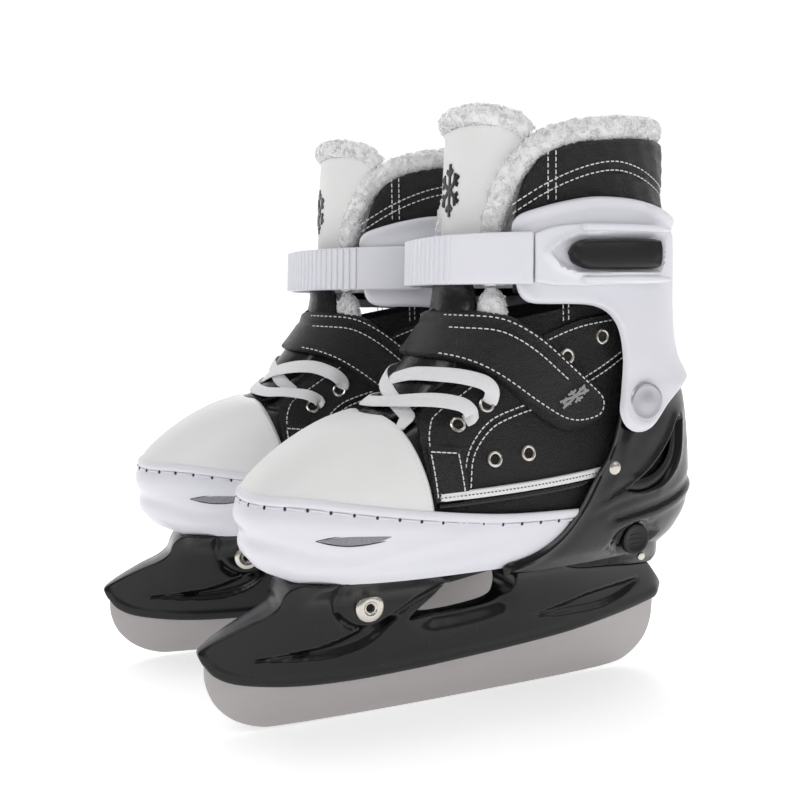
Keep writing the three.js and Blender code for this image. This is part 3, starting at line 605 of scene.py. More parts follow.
# %% Blade
HOLDER_EDGE = [(-140, 38), (-134, 31), (-122, 25.5), (-97, 20.5), (-68, 18.5), (-34, 19), (-7, 20.5),
               (24, 22.5), (60, 26), (92, 32), (115, 38)]
blade_loop = np.concatenate([
    curved([(BLADE_FRONT, 40), (BLADE_FRONT, 28), (-134.5, 17), (-126, 8), (-114, 2.4), (-100, 0.9), (-52, 0),
            (8, 0), (60, 0.45), (90, 2.0), (102, 6.2), (111, 14), (115.6, 24), (BLADE_REAR, 36)]),
    [(y, z + 5) for y, z in HOLDER_EDGE[::-1]][:-1]])
blade = plate(blade_loop, lambda y, z: np.full(len(y), BLADE_THICK / 2), edge=0.35, step=5)
on_both("ground_blade", blade, ground_steel, "chassis", ["blade"], sharp=30)

# %% [markdown]
# ## Blade holder
# One moulding: a long nose, a tower that carries the toe shell, a bridge with a window behind it,
# and a tower for the heel. Its walls thicken towards the boot. A raised pad carries the bolt, cut
# off by a groove that sweeps back into a fin, and crescent pockets lighten the sides.

# %% Blade holder
BOLT = (-60.0, 58.0)
SPLIT = [(104.5, 61.3), (92, 61.5), (79, 62.6), (59, 64), (48, 67), (36, 72), (28, 77)]
holder_loop = np.concatenate([
    curved(HOLDER_EDGE), curved([(115.5, 38.6), (120.3, 43.5), (120, 46.5), (112.5, 54), (106, 60.3)]),
    curved(SPLIT), curved([(20, 76), (13, 73.5), (17.5, 69), (21, 62.5), (20.6, 55.6), (15, 50.8), (6, 48.4),
                           (-13, 46.7), (-37, 46.5)]),
    curved([(-36.6, 47.2), (-30, 54), (-17.5, 66.3)]), curved([(-18.5, 67), (-28, 70.5), (-38, 75)]),
    curved([(-94, 75), (-99.5, 72), (-102.5, 68), (-105, 62.5), (-111, 58.5), (-120, 55), (-131, 50),
            (-141, 44.2), (-141.4, 41)])])
PAD_GROOVE = curved([(-78, 73), (-77.5, 62), (-74, 53.5), (-67, 47.8), (-58, 46.6), (-48, 50), (-36, 56.6),
                     (-26, 61.5), (-17, 66)])
FRONT_POCKET = np.concatenate([curved([(-121, 37.6), (-98.6, 38.4), (-81, 40), (-63.4, 45.5), (-45, 53.5)]),
                               curved([(-43, 49), (-57, 37.8), (-73.6, 33.4), (-94, 33.8)])])
WINDOW_SILL = curved([(-40, 46), (-13, 46.2), (6, 47.8), (15, 49.6)])
REAR_POCKET = np.concatenate([curved([(32, 38.4), (54, 43.3), (70, 47.5), (99.4, 52.6)]),
                              curved([(102, 50.5), (93.5, 43), (77, 37.6), (52, 36.4)])])
PAD_HALF, GROOVE_DEEP, SILL_THINNING, FRONT_DEEP, REAR_DEEP = 13.6, 2.2, 4.6, 3.4, 2.8


def hull_half(y, z):
    """Half width of the boot's underpinnings: slim at the blade, wide under the sole."""
    by_height = spline([15, 22, 30, 40, 50, 57, 62, 66, 70, 74, 80],
                       [4.2, 5.4, 6.4, 7.8, 10, 12.6, 15.2, 18.5, 23, 28, 33], z)
    by_length = spline([-142, -134, -122, -106, -97, -86, 66, 84, 100, 112, 121],
                       [2.4, 5.2, 8, 12, 18, 34, 38, 30, 19, 10, 3.4], y)
    return (by_height ** -5 + by_length ** -5) ** (-1 / 5)


def holder_half(y, z):
    half = hull_half(y, z)
    pad = within(y, z, np.concatenate([PAD_GROOVE, [(-40, 76), (-78, 76)]]), 2.5)
    half = half + pad * np.clip(PAD_HALF - half, 0, 6)
    half = half - GROOVE_DEEP * near_path(y, z, PAD_GROOVE, 2.6)
    half = half - SILL_THINNING * near_path(y, z, WINDOW_SILL, 8) * np.clip((y + 38) / 16, 0, 1)
    half = half - FRONT_DEEP * within(y, z, FRONT_POCKET, 3.0) - REAR_DEEP * within(y, z, REAR_POCKET, 3.0)
    lip = near_path(y, z, curved([(y, z + 3.4) for y, z in HOLDER_EDGE]), 3.5)
    return np.maximum(half + 0.9 * lip, 2.0)


holder = plate(holder_loop, holder_half, edge=1.1, step=1.35)
on_both("moulded_blade_holder", holder, black_nylon, "chassis", ["blade_holder"], sharp=70)

# %% [markdown]
# ## Bolt and nut
# A domed washer-headed bolt with a hex socket, in nickel-plated steel. The socket is a real pit:
# six sides drawn down into the head, with a near-black hex disc at its bottom as painted shade.

# %% Bolt and nut
BOLT_X = 14.8


def bolt_head(side):
    at, out = (side * (BOLT_X - 0.6), *BOLT), (side, 0, 0)
    dome = turned([(7.2, 0), (7.4, 0.5), (7.2, 1.1), (6.4, 1.75), (5.0, 2.2), (3.9, 2.35), (3.5, 2.2)],
                  at, out, 48)
    seat = turned([(3.5, 2.2), (3.3, 1.9), (2.9, 1.7)], at, out, 48)
    socket = turned([(2.9, 1.7), (2.6, 1.6), (2.5, 0.3), (0.02, 0.1)], at, out, 6)
    flat_ring = turned([(2.9, 1.7), (2.3, 1.62)], at, out, 48)
    return join(dome, seat, socket, flat_ring)


# Near-black hex discs at the bottom of each socket: painted shade.
for side, which in ((1, "bolt"), (-1, "nut")):
    pit = turned([(2.3, 0.45), (0.02, 0.4)], (side * (BOLT_X - 0.6), *BOLT), (side, 0, 0), 6)
    on_both(f"socket_pit_{which}", pit, painted_shade_bore, "chassis")
on_both("socket_bolt", bolt_head(1), nickel, "chassis", ["blade_bolt"])
on_both("socket_nut", bolt_head(-1), nickel, "chassis", ["blade_nut"])

# %% [markdown]
# ## Toe shell
# The white moulding that holds the front of the foot. A fat bead runs round its top, with a row of
# moulded stitch slots under it. Its side is sculpted by soft ridges that sweep back from the toe,
# round a grey stippled insert, and its foot bulges before it turns under the sole.

# %% Toe shell
SHELL_IN, SHELL_OUT = 2.2, 4.6
SLOT_DROP = 4.4
RIM = [(-140, 118.3), (-112, 118.3), (-97, 118), (-80, 115.6), (-50, 110.8), (-20, 106.4), (3, 104),
       (35, 102.6), (55, 102)]


def rim_path(lift=0.0, last=55):
    path = curved([(y, z + lift) for y, z in RIM])
    return path[path[:, 0] <= last]


def toe_sculpt(points):
    """Ridges and grooves of the toe shell, as a height for each point."""
    y, z = points[:, 1], points[:, 2]
    ridge_low = curved([(-122, 88), (-118, 90), (-104, 86.5), (-89, 85.5), (-66, 88.5), (-46, 93), (-22, 97)])
    ridge_top = curved([(-122, 106), (-103, 107.5), (-80, 105), (-60, 102.5), (-30, 100), (-8, 99)])
    groove = curved([(-122, 99), (-110, 97), (-98, 93.5), (-84, 90), (-60, 91)])
    tail = curved([(-64, 86), (-46, 85.5), (-30, 87), (-12, 89), (6, 92)])
    slot_line = curved([(y, z - SLOT_DROP) for y, z in RIM])
    height = 1.1 * near_path(y, z, ridge_low, 5) + 0.8 * near_path(y, z, ridge_top, 6)
    height -= 1.3 * near_path(y, z, groove, 4) + 0.9 * near_path(y, z, tail, 3.0)
    height -= 0.5 * near_path(y, z, slot_line, 0.9)
    return height - 0.5 * within(y, z, INSERT, 2.0)


INSERT = np.concatenate([curved([(-93, 99.2), (-86, 97.2), (-77, 96.2), (-66, 97.2), (-50, 100.4)]),
                         curved([(-51, 100.9), (-66, 101.7), (-79, 101.5), (-87, 100.6)])])
front_rim = seen_from_side(rim_path(0.3), SHELL_OUT, smooth=False)
rear_edge = seen_from_side([(55, 101), (55, 76)], SHELL_OUT)
sole_edge = np.array([[rear_edge[-1, 0], SOLE_Z], [0.0, SOLE_Z]])
toe_loop = across_toe(np.concatenate([front_rim, rear_edge[1:], sole_edge]))
toe_shell = panel([toe_loop], SHELL_IN, SHELL_OUT, edge=1.2, step=2.2, swell=toe_sculpt,
                  keep=lambda p: (p[:, 2] < SOLE_Z - 3) | (p[:, 1] > 54))


def sole_plate(first, last, grow, sides=48):
    """The flat underside of a shell, from one angle to another."""
    angle = np.linspace(first, last, sides)
    edge = np.concatenate([skin(angle, np.full(sides, SOLE_Z), grow),
                           skin(-angle, np.full(sides, SOLE_Z), grow)])
    i = np.arange(sides - 1)
    return edge, [np.column_stack([i, i + 1, i + 1 + sides, i + sides])]


on_both("moulded_toe_shell", join(toe_shell, sole_plate(0.02, rear_edge[-1, 0], SHELL_OUT)), white_pp,
        "chassis", ["toe_shell"])

# %% [markdown]
# The bead along the top is a sweep that hugs the rim. Under it, short slots imitate a sewn welt:
# each slot is a small dark grey pellet, painted shade, stamped where a stitch would dive.

# %% Bead and stitch slots
def round_the_toe(path, grow):
    """A side-view path carried round the toe from the outer rear to the inner rear."""
    spot = seen_from_side(path, grow, smooth=False)
    both = np.concatenate([spot[::-1], (spot * (-1, 1))[1:]])
    points = skin(both[:, 0], both[:, 1], grow)
    length = np.concatenate([[0], np.cumsum(np.linalg.norm(np.diff(points, axis=0), axis=1))])
    at = np.linspace(0, length[-1], int(length[-1] / 1.5))
    both = np.column_stack([np.interp(at, length, both[:, k]) for k in (0, 1)])
    return skin(both[:, 0], both[:, 1], grow), skin_normal(both[:, 0], both[:, 1], grow)


bead_at, bead_up = round_the_toe(rim_path(-1.5), SHELL_OUT)
bead = sweep(bead_at, bead_up, oval(4.4, 2.4, 14))
on_both("toe_shell_bead", bead, white_pp, "chassis")
slot_at, slot_up = round_the_toe(rim_path(-SLOT_DROP), SHELL_OUT)
every = slice(4, -4, 7)
slot_along = unit(np.gradient(slot_at, axis=0))
slot_axes = np.stack([slot_along, np.cross(slot_up, slot_along), slot_up], 1)
PELLET = turned([(0.01, 1), (0.6, 0.8), (0.95, 0.3), (1, 0)], (0, 0, 0), (0, 0, 1), 8, hint=(0, 1, 0))
# Dark grey pellets in the slots: painted shade for the recesses.
on_both("stitch_slot_shades", stamp(PELLET, slot_at[every], slot_axes[every], (0.7, 1.1, 0.5)), foam_cloth,
        "chassis")
hump = np.linspace(-1, 1, 7)
HUMP = sweep(np.column_stack([hump, np.zeros(7), 1 - hump ** 4]), np.tile((0, 0, 1), (7, 1)), oval(1, 1, 6))
between = slot_at[every][:-1] * 0.5 + slot_at[every][1:] * 0.5
welt = stamp(HUMP, between, slot_axes[every][:-1], (4.2, 1.0, 0.6))
on_both("welt_stitches", welt, white_pp, "chassis")

# %% [markdown]
# The insert is a lens of stippled grey plastic, pressed into the side, with a dark line round it.

# %% Side inserts
for side, which in SIDES:
    node_name = f"toe_insert_{which}"
    lens = panel([seen_from_side(INSERT, SHELL_OUT, smooth=False, closed=True) * (side, 1)], SHELL_OUT - 0.6,
                 SHELL_OUT + 0.15, edge=0.9, step=1.2)
    at, out = on_skin(resample(INSERT, 0.8, closed=True), SHELL_OUT - 0.05, side)
    line = sweep(at, out, oval(0.55, 0.5, 6), closed=True)
    on_both(node_name + "_lens", lens, grey_insert, "chassis", [node_name])
    on_both(node_name + "_line", line, dark_thread, "chassis")

# %% [markdown]
# ## Toe cap
# A dome of smooth white leather, drawn over a stiff toe puff. It tucks into the shell's bead, and
# its rear edge is turned under and sewn down, in an arc over the foot.

# %% Toe cap
CAP_EDGE = [(-38, 106), (-39.5, 116), (-42, 127), (-46, 139), (-49.5, 147), (-52, 152)]
cap_side = seen_from_side(rim_path(-1.5, -38), 3.4, smooth=False)
cap_back = seen_from_side(CAP_EDGE, 3.4)
cap_loop = across_toe(np.concatenate([cap_side, cap_back, [[0.0, cap_back[-1, 1]]]]))
toe_cap = panel([cap_loop], 1.0, SHELL_OUT, edge=1.8, step=2.4)
on_both("leather_toe_cap", toe_cap, white_leather, "chassis", ["toe_cap"])

# %% [markdown]
# ## Sewing
# A stitch is a short thread that dives into the leather at both ends. One is made, and stamped
# along the seams, so the thread stays in step however the seam bends.


# %% Sewing
def steps_along(at, up_of, pitch):
    """Places `pitch` apart along a 3-D path, with axes along it, across it and away from the skin."""
    length = np.concatenate([[0], np.cumsum(np.linalg.norm(np.diff(at, axis=0), axis=1))])
    where = np.arange(pitch / 2, length[-1], pitch)
    along = np.gradient(at, axis=0)
    place, normal, ahead_of = (np.stack([np.interp(where, length, v[:, k]) for k in range(3)], -1)
                               for v in (at, up_of, along))
    normal, ahead_of = unit(normal), unit(ahead_of)
    return place, np.stack([ahead_of, unit(np.cross(normal, ahead_of)), normal], 1)


arch = np.linspace(-1, 1, 6)
THREAD = sweep(np.column_stack([arch, np.zeros(6), 0.8 - arch ** 4]), np.tile((0, 0, 1), (6, 1)),
               oval(1, 1, 6))


def stitched(paths, grow, sides=(1, -1), pitch=3.0, size=(1.05, 0.62, 0.36)):
    """Rows of stitches along paths drawn in the side view."""
    rows = []
    for path in paths:
        for side in sides:
            at, up_of = on_skin(curved(path, 0.8), grow, side)
            place, axes = steps_along(at, up_of, pitch)
            rows.append(stamp(THREAD, place, axes, size))
    return join(*rows)


def beside(path, shift):
    """The same path moved sideways by `shift` mm."""
    path = curved(path, 1.0)
    along = unit(np.gradient(path, axis=0))
    return (path + shift * np.stack([-along[:, 1], along[:, 0]], -1))[::6]


on_both("toe_cap_stitches", stitched([[(y - 3.2, z) for y, z in CAP_EDGE[:-1]]], SHELL_OUT, pitch=2.6,
                                     size=(0.75, 0.45, 0.2)), white_thread, "chassis")

# %% [markdown]
# ## Boot upper
# Under everything lies a smooth black vamp and a cloth lining. Over it come the quarters, cut from
# pebbled leather, and on their front the eyestay, which carries the eyelets. Each layer is about a
# millimetre thick, so its edge catches the light and the seams read as real ones.


# %% Full wraps of the form
def wrap(low, high, grow, rows=40, columns=160, first=0.0, last=2 * np.pi, bump=None):
    """A sheet round the form between two heights, each a function of the angle."""
    angle = np.linspace(first, last, columns)
    share = np.linspace(0, 1, rows)[:, None]
    a = np.broadcast_to(angle, (rows, columns))
    h = low(angle) * (1 - share) + high(angle) * share
    points = skin(a.ravel(), h.ravel(), grow)
    if bump is not None:
        points = points + skin_normal(a.ravel(), h.ravel(), grow) * bump(points)[:, None]
    i, j = np.meshgrid(np.arange(rows - 1), np.arange(columns - 1), indexing="ij")
    corner = i * columns + j
    quads = np.stack([corner, corner + 1, corner + columns + 1, corner + columns], -1)
    return points, [quads.reshape(-1, 4)]


def level(z):
    return lambda angle: np.full_like(angle, float(z))


def boot_top(angle):
    y = skin(angle, np.full_like(angle, 200.0), 0)[:, 1]
    return spline([-60, -40, 80, 112, 150], [181, 185, 206, 205, 203], y)


def soft_folds(points):
    """The vamp's leather creases a little where the foot bends."""
    x, y, z = points.T
    creases = 0.5 * np.sin(y * 0.33 + x * 0.05) * np.exp(-((z - 140) / 14) ** 2)
    return creases + 0.25 * np.sin(x * 0.5 + y * 0.2)


vamp = wrap(level(SOLE_Z), boot_top, 0.0, rows=70, columns=220, bump=soft_folds)
inner = wrap(level(SOLE_Z + 2), boot_top, -2.2, rows=30, columns=100)
on_both("smooth_vamp", join(vamp, sole_plate(0, np.pi, 0)), smooth_leather, "heel", ["boot_upper"])
on_both("boot_lining", inner, inner_cloth, "heel")

# %% [markdown]
# The quarters wrap the heel from one eyestay to the other. The ankle above them is a plain band of
# the same leather, and the collar starts over it.

# %% Quarters, ankle band and eyestays
EYESTAY_FRONT = [(-38, 105), (-40, 118), (-42.3, 132.9), (-43, 142.2), (-40.6, 149), (-34.5, 155.6),
                 (-25.8, 161.8), (-14.7, 169.6), (0, 178.5), (14, 185), (27, 190.2), (45.7, 196.4),
                 (72, 200.2), (98, 201)]
DOUBLE_SEAM = [(-21.5, 118.5), (-19.6, 131.6), (-14.3, 140.5), (-5.2, 148), (8.9, 152.9), (22, 156),
               (34, 160), (49.2, 166.8), (61, 172.6), (78, 182)]
QUARTER = 1.3
quarter_half = np.concatenate([
    seen_from_side([(128, 200), (112, 201), (98, 201)], QUARTER),
    seen_from_side(EYESTAY_FRONT[::-1], QUARTER),
    [[seen_from_side([(-38, 105), (-37, 104)], QUARTER)[0, 0], SOLE_Z + 6], [np.pi, SOLE_Z + 6]]])
quarter_half[0, 0] = np.pi
quarter = panel([across_heel(quarter_half)], -0.2, QUARTER, edge=1.0, step=2.6)
on_both("pebbled_quarter", quarter, black_leather, "heel")
band = wrap(lambda a: np.maximum(boot_top(a) - 40, 150), boot_top, 0.7, rows=16, columns=120, first=0.62,
            last=2 * np.pi - 0.62)
on_both("ankle_band", band, black_leather, "heel")
for side, which in SIDES:
    stay_loop = np.concatenate([curved(EYESTAY_FRONT[2:-1]), curved(DOUBLE_SEAM[::-1]), [(-39, 117)]])
    stay = side_panel(stay_loop, 0.6, 2.2, side, edge=0.9, step=2.2)
    patch_loop = curved([(-38.4, 114.5), (-40.6, 137.6), (-38.8, 139.8), (-25, 138.2), (-22.8, 136.2),
                         (-20.4, 115.4), (-22.4, 113.4), (-36.6, 112.8)], closed=True)
    patch = side_panel(patch_loop, 1.6, 3.0, side, edge=0.8, step=2)
    on_both(f"eyestay_{which}", stay, black_leather, "heel")
    on_both(f"eyestay_patch_{which}", patch, black_leather, "heel")

# %% [markdown]
# White thread runs along the eyestay's edge, round the patch, twice along the curved seam, and
# twice down the ankle. The foxing is a narrow white strip with black thread, and a black piping
# lies under it, just above the shell.

# %% Seams, foxing and piping
STAY_SEAM = [(-35.5, 121), (-37.6, 131.8), (-38.3, 141), (-35.6, 148.4), (-30, 153.4), (-22, 158.6),
             (-11, 166), (2, 174), (15, 180.8), (27, 186.4), (45.7, 192.6), (70.5, 196.2)]
PATCH_SEAM = [(-36.8, 115.4), (-38.9, 136.8), (-25.4, 135.4), (-23.0, 115.8), (-36.8, 115.4)]
seams = stitched([STAY_SEAM, beside(DOUBLE_SEAM, 1.5), beside(DOUBLE_SEAM, -1.6)], 2.25)
corners = [stitched([PATCH_SEAM[i:i + 2]], 3.05, pitch=2.6) for i in range(4)]
ankle = stitched([[(36.2, 204), (36.2, 194.5)], [(39.2, 204.5), (39.2, 195)]], 0.8)
on_both("white_seams", join(seams, ankle, *corners), white_thread, "heel")
FOXING_TOP = [(-36, 117.6), (-10, 118.3), (18, 119.6), (45, 121.6), (70, 124)]
FOXING_LOW = [(-36, 113.2), (-10, 113.8), (18, 115), (45, 116.8), (70, 119)]
for side, name in SIDES:
    loop = np.concatenate([curved(FOXING_TOP), curved(FOXING_LOW[::-1])])
    strip = side_panel(loop, 1.6, 3.2, side, edge=0.7, step=2)
    at, out = on_skin(curved([(y, z - 1.9) for y, z in FOXING_LOW]), 1.9, side)
    on_both(f"foxing_{name}", strip, white_leather, "heel")
    on_both(f"piping_{name}", sweep(at, out, oval(2.6, 2.2, 8)), smooth_leather, "heel")
middle_line = [(y, (a + b) / 2) for (y, a), (_, b) in zip(FOXING_TOP, FOXING_LOW)]
on_both("foxing_stitches", stitched([middle_line], 3.25, pitch=2.0, size=(0.55, 0.5, 0.2)), dark_thread,
        "heel")

# %% [markdown]
# ## Eyelets and vents
# A nickel eyelet is rolled outwards over the leather, with a near-black disc in it as painted shade for the
# hole.
# The two lower ones are vents, without a lace.

# %% Eyelets
EYELETS = [(-23, 148), (-7, 156.5), (37, 178), (58, 187.2)]
VENTS = [(-6, 131), (12.5, 132.5)]
RING = [(2.3, -1.2), (2.3, 0.2), (2.6, 0.75), (3.2, 0.95), (3.8, 0.7), (4.05, 0.1)]
rings, hole_shades = [], []
for spot in EYELETS + VENTS:
    for side in (1, -1):
        at, out = on_skin([spot], 2.1 if spot in EYELETS else 1.3, side)
        rings.append(turned(RING, at[0], out[0], 32))
        # A near-black disc in each eyelet: painted shade for the hole.
        hole_shades.append(turned([(2.35, 0.1), (0.02, 0.05)], at[0], out[0], 24))
on_both("eyelets", join(*rings), nickel, "heel")
on_both("eyelet_hole_shades", join(*hole_shades), painted_shade_bore, "heel")

# %% [markdown]
# ## Tongue below the strap
# The padded lower tongue fills the throat between the eyestays: a soft panel of smooth leather,
# lifted in the middle, that rides with the boot.

# %% Lower tongue
def throat_loop(corners):
    """A loop over the middle of the foot from (half width in mm, height) corners."""
    half = curved(corners, 1.0)
    wide = np.interp(half[:, 1], HEIGHTS, HALF) + 3
    angle = np.arcsin(np.clip(half[:, 0] / wide, 0, 0.999) ** (1 / ROUND))
    return across_toe(np.column_stack([angle, half[:, 1]]))


def crown(points):
    return 1.6 * np.exp(-(points[:, 0] / 15) ** 2) + 0.35 * np.sin(points[:, 2] * 0.38 + points[:, 0] * 0.06)


lower_tongue = panel([throat_loop([(0, 219), (16, 219), (21.5, 212), (25, 190), (27, 172), (25, 158),
                                   (19, 149), (0, 146)])], -0.4, 2.2, edge=3.5, step=2.4, swell=crown)
stuffed(on_both("lower_tongue", lower_tongue, smooth_leather, "heel"))

# %% [markdown]
# ## Laces
# Flat braided cotton laces cross over the tongue and dive through the eyelets. Each of the three is
# a ribbon with a rounded section, swept along its crossing.


# %% Laces
LACE_THICK = 1.4
LACE_SHARES = [0, 0.03, 0.1, 0.9, 0.97, 1]
LACE_WIDE = [3.4, 4.8, 7.4, 7.4, 4.8, 3.4]  # it folds where it dives through an eyelet


def lace(stations):
    """A ribbon from stations of (angle as a share of the lowest eyelet's, height, lift off the form)."""
    share, height, lift = np.array(stations, float).T
    t, fine = np.linspace(0, 1, len(share)), np.linspace(0, 1, 90)
    angle = spline(t, share, fine) * locate([EYELETS[0]], 2)[0, 0]
    height, lift = spline(t, height, fine) - 1.8, spline(t, lift, fine)
    up_of = skin_normal(angle, height, 2.0)
    at = skin(angle, height, 0) + up_of * (lift + 1.2)[:, None]
    width = np.interp(fine, LACE_SHARES, LACE_WIDE)
    return sweep(at, up_of, np.stack([oval(w, LACE_THICK, 14, power=2.6) for w in width]))


second = locate([EYELETS[1]], 2)[0, 0] / locate([EYELETS[0]], 2)[0, 0]
laces = join(
    lace([(1, 148, -1.8), (.985, 150, 2.4), (.92, 153, 6), (.8, 156, 7.4), (.6, 157.4, 6.6), (.3, 156.2, 5.4),
          (0, 154.4, 5), (-.3, 152.8, 5.6), (-.6, 151.4, 7.4), (-.85, 150.4, 8), (-.98, 149.6, 3.4),
          (-1, 148, -1.8)]),
    lace([(.66, 147, .4), (.52, 150.5, 1.4), (.25, 156.5, 2.6), (0, 162, 3.4), (-.3, 167, 5.6),
          (-.6, 169, 7.6), (-.82 * second, 166, 7.6), (-.97 * second, 160.5, 3.4), (-second, 156.5, -1.8)]),
    lace([(second, 156.5, -1.8), (.985 * second, 159, 2.4), (.94 * second, 163, 5.6),
          (.84 * second, 167, 6.8), (.6 * second, 169.8, 6.2), (.3, 170.4, 4.6), (0, 168, 3),
          (-.3, 162.5, 1.8), (-.6, 156, .8), (-.85, 150.4, .2)]))
on_both("cotton_laces", laces, white_lace, "heel", ["laces"])

# %% [markdown]
# ## Touch-fastening strap
# A padded leather strap over the instep, with a rounded tab on each side. Two rows of thread follow
# its upper edge and one its lower edge, and they meet round the tab.

# %% Instep strap
STRAP_TOP = [(-60, 203), (-30, 202.5), (-14, 201.5), (1, 200), (12, 195.6), (24, 187.5), (37, 176.4),
             (48, 167), (55.5, 160.5)]
STRAP_TAB = [(57.6, 157), (57.8, 152.4), (54.6, 147.6), (48, 145.4), (38.7, 144.8)]
STRAP_LOW = [(31, 146.6), (25.6, 149.4), (13.4, 157.4), (2, 166), (-9, 173), (-22, 178), (-38, 180.5),
             (-60, 181)]
INSTEP_IN, INSTEP_OUT = 2.6, 6.0
ROW_INSET, SECOND_ROW_INSET = 2.4, 8.4
strap_half = seen_from_side(STRAP_TOP + STRAP_TAB + STRAP_LOW, INSTEP_OUT)
strap_half[0, 0] = strap_half[-1, 0] = 0


def strap_swell(points):
    fold = near_path(points[:, 1], points[:, 2], curved([(y - 2.2, z - 6.2) for y, z in STRAP_TOP]), 2.0)
    return 0.5 - 0.8 * fold


instep = panel([across_toe(strap_half)], INSTEP_IN, INSTEP_OUT, edge=2.0, step=2.2, swell=strap_swell)
stuffed(on_both("instep_strap", instep, black_leather, "heel", ["touch_strap"]))
strap_outline = curved(STRAP_TOP[1:] + STRAP_TAB + STRAP_LOW[:-1], 1.0)
strap_rows = [beside(strap_outline, -ROW_INSET)[2:-2], beside(STRAP_TOP[1:8], -SECOND_ROW_INSET)[:-1]]
strap_rows = [row[locate(row, INSTEP_OUT)[:, 0] > 0.06] for row in strap_rows]
strap_seams = stitched(strap_rows, INSTEP_OUT + 0.3)
on_both("instep_strap_stitches", strap_seams, white_thread, "heel")

# %% [markdown]
# ## Heel shell
# The black moulding that slides back to fit a longer foot. Its front edge slants up to the ankle
# pivot, and a crescent is cut through each side. Below, it narrows like a hull to the holder, with
# an eye-shaped hollow for the button, and a soft ledge runs round the back.

# %% Heel shell
HEEL_IN, HEEL_OUT = 5.1, 7.4
BUTTON = (79.0, 82.0)
HOLE_RADIUS = 8.35
PIVOT = (79.0, 154.0)
HEEL_RIVET = (60, 122)
HEEL_FRONT = [(70, 163), (66.5, 152), (62, 138.5), (57, 128.5), (48.5, 116), (36.5, 98), (25.5, 86),
              (14, 79), (3, 75)]
WINDOW = np.concatenate([curved([(70, 109.5), (80, 107.6), (92, 109.2), (103, 114.5), (111, 124),
                                 (114.5, 143)]),
                         curved([(110, 142.5), (101, 131.5), (91, 122.5), (81, 116), (73, 112.4)])])
EYE = np.concatenate([curved([(61, 80), (68, 88.5), (79, 92.3), (90, 89), (98, 82)]),
                      curved([(97, 80.5), (90, 75.5), (79, 73.2), (69, 75)])])
LEDGE = curved([(62, 92), (76, 93.6), (92, 95.4), (108, 98.4), (120, 102), (132, 106)])
FLUTES = [curved([(49, 98.4), (62, 102.6), (76, 105.2), (90, 106.4)]),
          curved([(52, 105.4), (62, 110.4), (70, 113)])]


def heel_sculpt(points):
    y, z = points[:, 1], points[:, 2]
    rim_of_window = near_path(y, z, resample(WINDOW, 1, closed=True), 4.5)
    spine = near_path(y, z, curved([(60, 126), (74, 140), (90, 150), (110, 156)]), 5)
    front_lip = near_path(y, z, curved(HEEL_FRONT), 2.2)
    under_lip = near_path(y, z, curved([(a + 4.6, b - 3.2) for a, b in HEEL_FRONT[1:]]), 3.2)
    flutes = sum(near_path(y, z, line, 2.4) for line in FLUTES)
    step_in = near_path(y, z, curved([(62, 97)] + [(a, b + 4.2) for a, b in LEDGE[::12]]), 4)
    return (1.2 * near_path(y, z, LEDGE, 4) - 0.9 * step_in - 0.9 * flutes + 0.9 * rim_of_window + 0.4 * spine
            + 0.6 * front_lip - 0.5 * under_lip - 2.8 * within(y, z, EYE, 2.4))


HEEL_TOP = [(140, 166.5), (120, 163), (103, 158.5), (92, 162), (86, 165.5), (79, 167), (73, 165.5)]
foot_angle = seen_from_side(HEEL_FRONT[-2:], HEEL_OUT)[-1, 0]
heel_half = np.concatenate([seen_from_side(HEEL_TOP, HEEL_OUT), seen_from_side(HEEL_FRONT, HEEL_OUT),
                            [[foot_angle, SOLE_Z], [np.pi, SOLE_Z]]])
heel_half[0, 0] = np.pi
window_spot = seen_from_side(WINDOW, HEEL_OUT, smooth=False, closed=True)
around = np.linspace(0, 2 * np.pi, 37)[:-1]
hole_edge = HOLE_RADIUS * np.column_stack([np.cos(around), np.sin(around)])
button_hole = locate(hole_edge + BUTTON, HEEL_OUT)
holes = [window_spot, window_spot * (-1, 1) + (2 * np.pi, 0), button_hole]
heel_shell = panel([across_heel(heel_half), *holes], HEEL_IN, HEEL_OUT, edge=1.3, step=1.6, swell=heel_sculpt,
                   keep=lambda p: p[:, 2] < SOLE_Z - HEEL_OUT + 0.5)
heel_sole = sole_plate(heel_half[-2, 0], np.pi, HEEL_OUT)
print("heel shell:", len(heel_shell[0]), "points")

# %% [markdown]
# Under the shell, a hull-shaped plate carries the slide. Its lower edge follows the holder's top,
# a hair above it. A satin rib behind each crescent shows the inside of the moulding.

# %% Heel base and the inside of the crescents
base_loop = np.concatenate([curved([(y, z + 0.5) for y, z in SPLIT[::-1]]),
                            curved([(104.5, 62), (110, 69), (114.5, 77)]),
                            curved([(113, 79), (80, 79.5), (30, 79)])])


def base_half(y, z):
    by_height = spline([60, 63, 66, 70, 73, 76, 80], [14.5, 16.4, 20, 26, 31, 35.5, 39], z)
    by_length = spline([26, 40, 60, 80, 93, 103, 110, 115], [46, 44, 40, 35.2, 29, 22, 14, 6], y)
    half = (by_height ** -6 + by_length ** -6) ** (-1 / 6)
    lip = near_path(y, z, curved([(a, b + 2.0) for a, b in SPLIT]), 1.6)
    return half - 1.8 * within(y, z, EYE, 4.0) + 0.5 * lip


heel_base = plate(base_loop, base_half, edge=0.8, step=1.6)
on_both("moulded_heel_shell", join(heel_shell, heel_sole, heel_base), black_nylon, "heel", ["heel_shell"],
        sharp=60)
inner_ridge = curved([(71, 111.5), (81, 110.4), (91, 112), (100.5, 117), (107.5, 125.5), (111.5, 141)])
for side, name in SIDES:
    at, out = on_skin(inner_ridge, 4.2, side)
    on_both(f"window_ridge_{name}", sweep(at, out, oval(6.5, 2.4, 12)), black_satin, "heel")

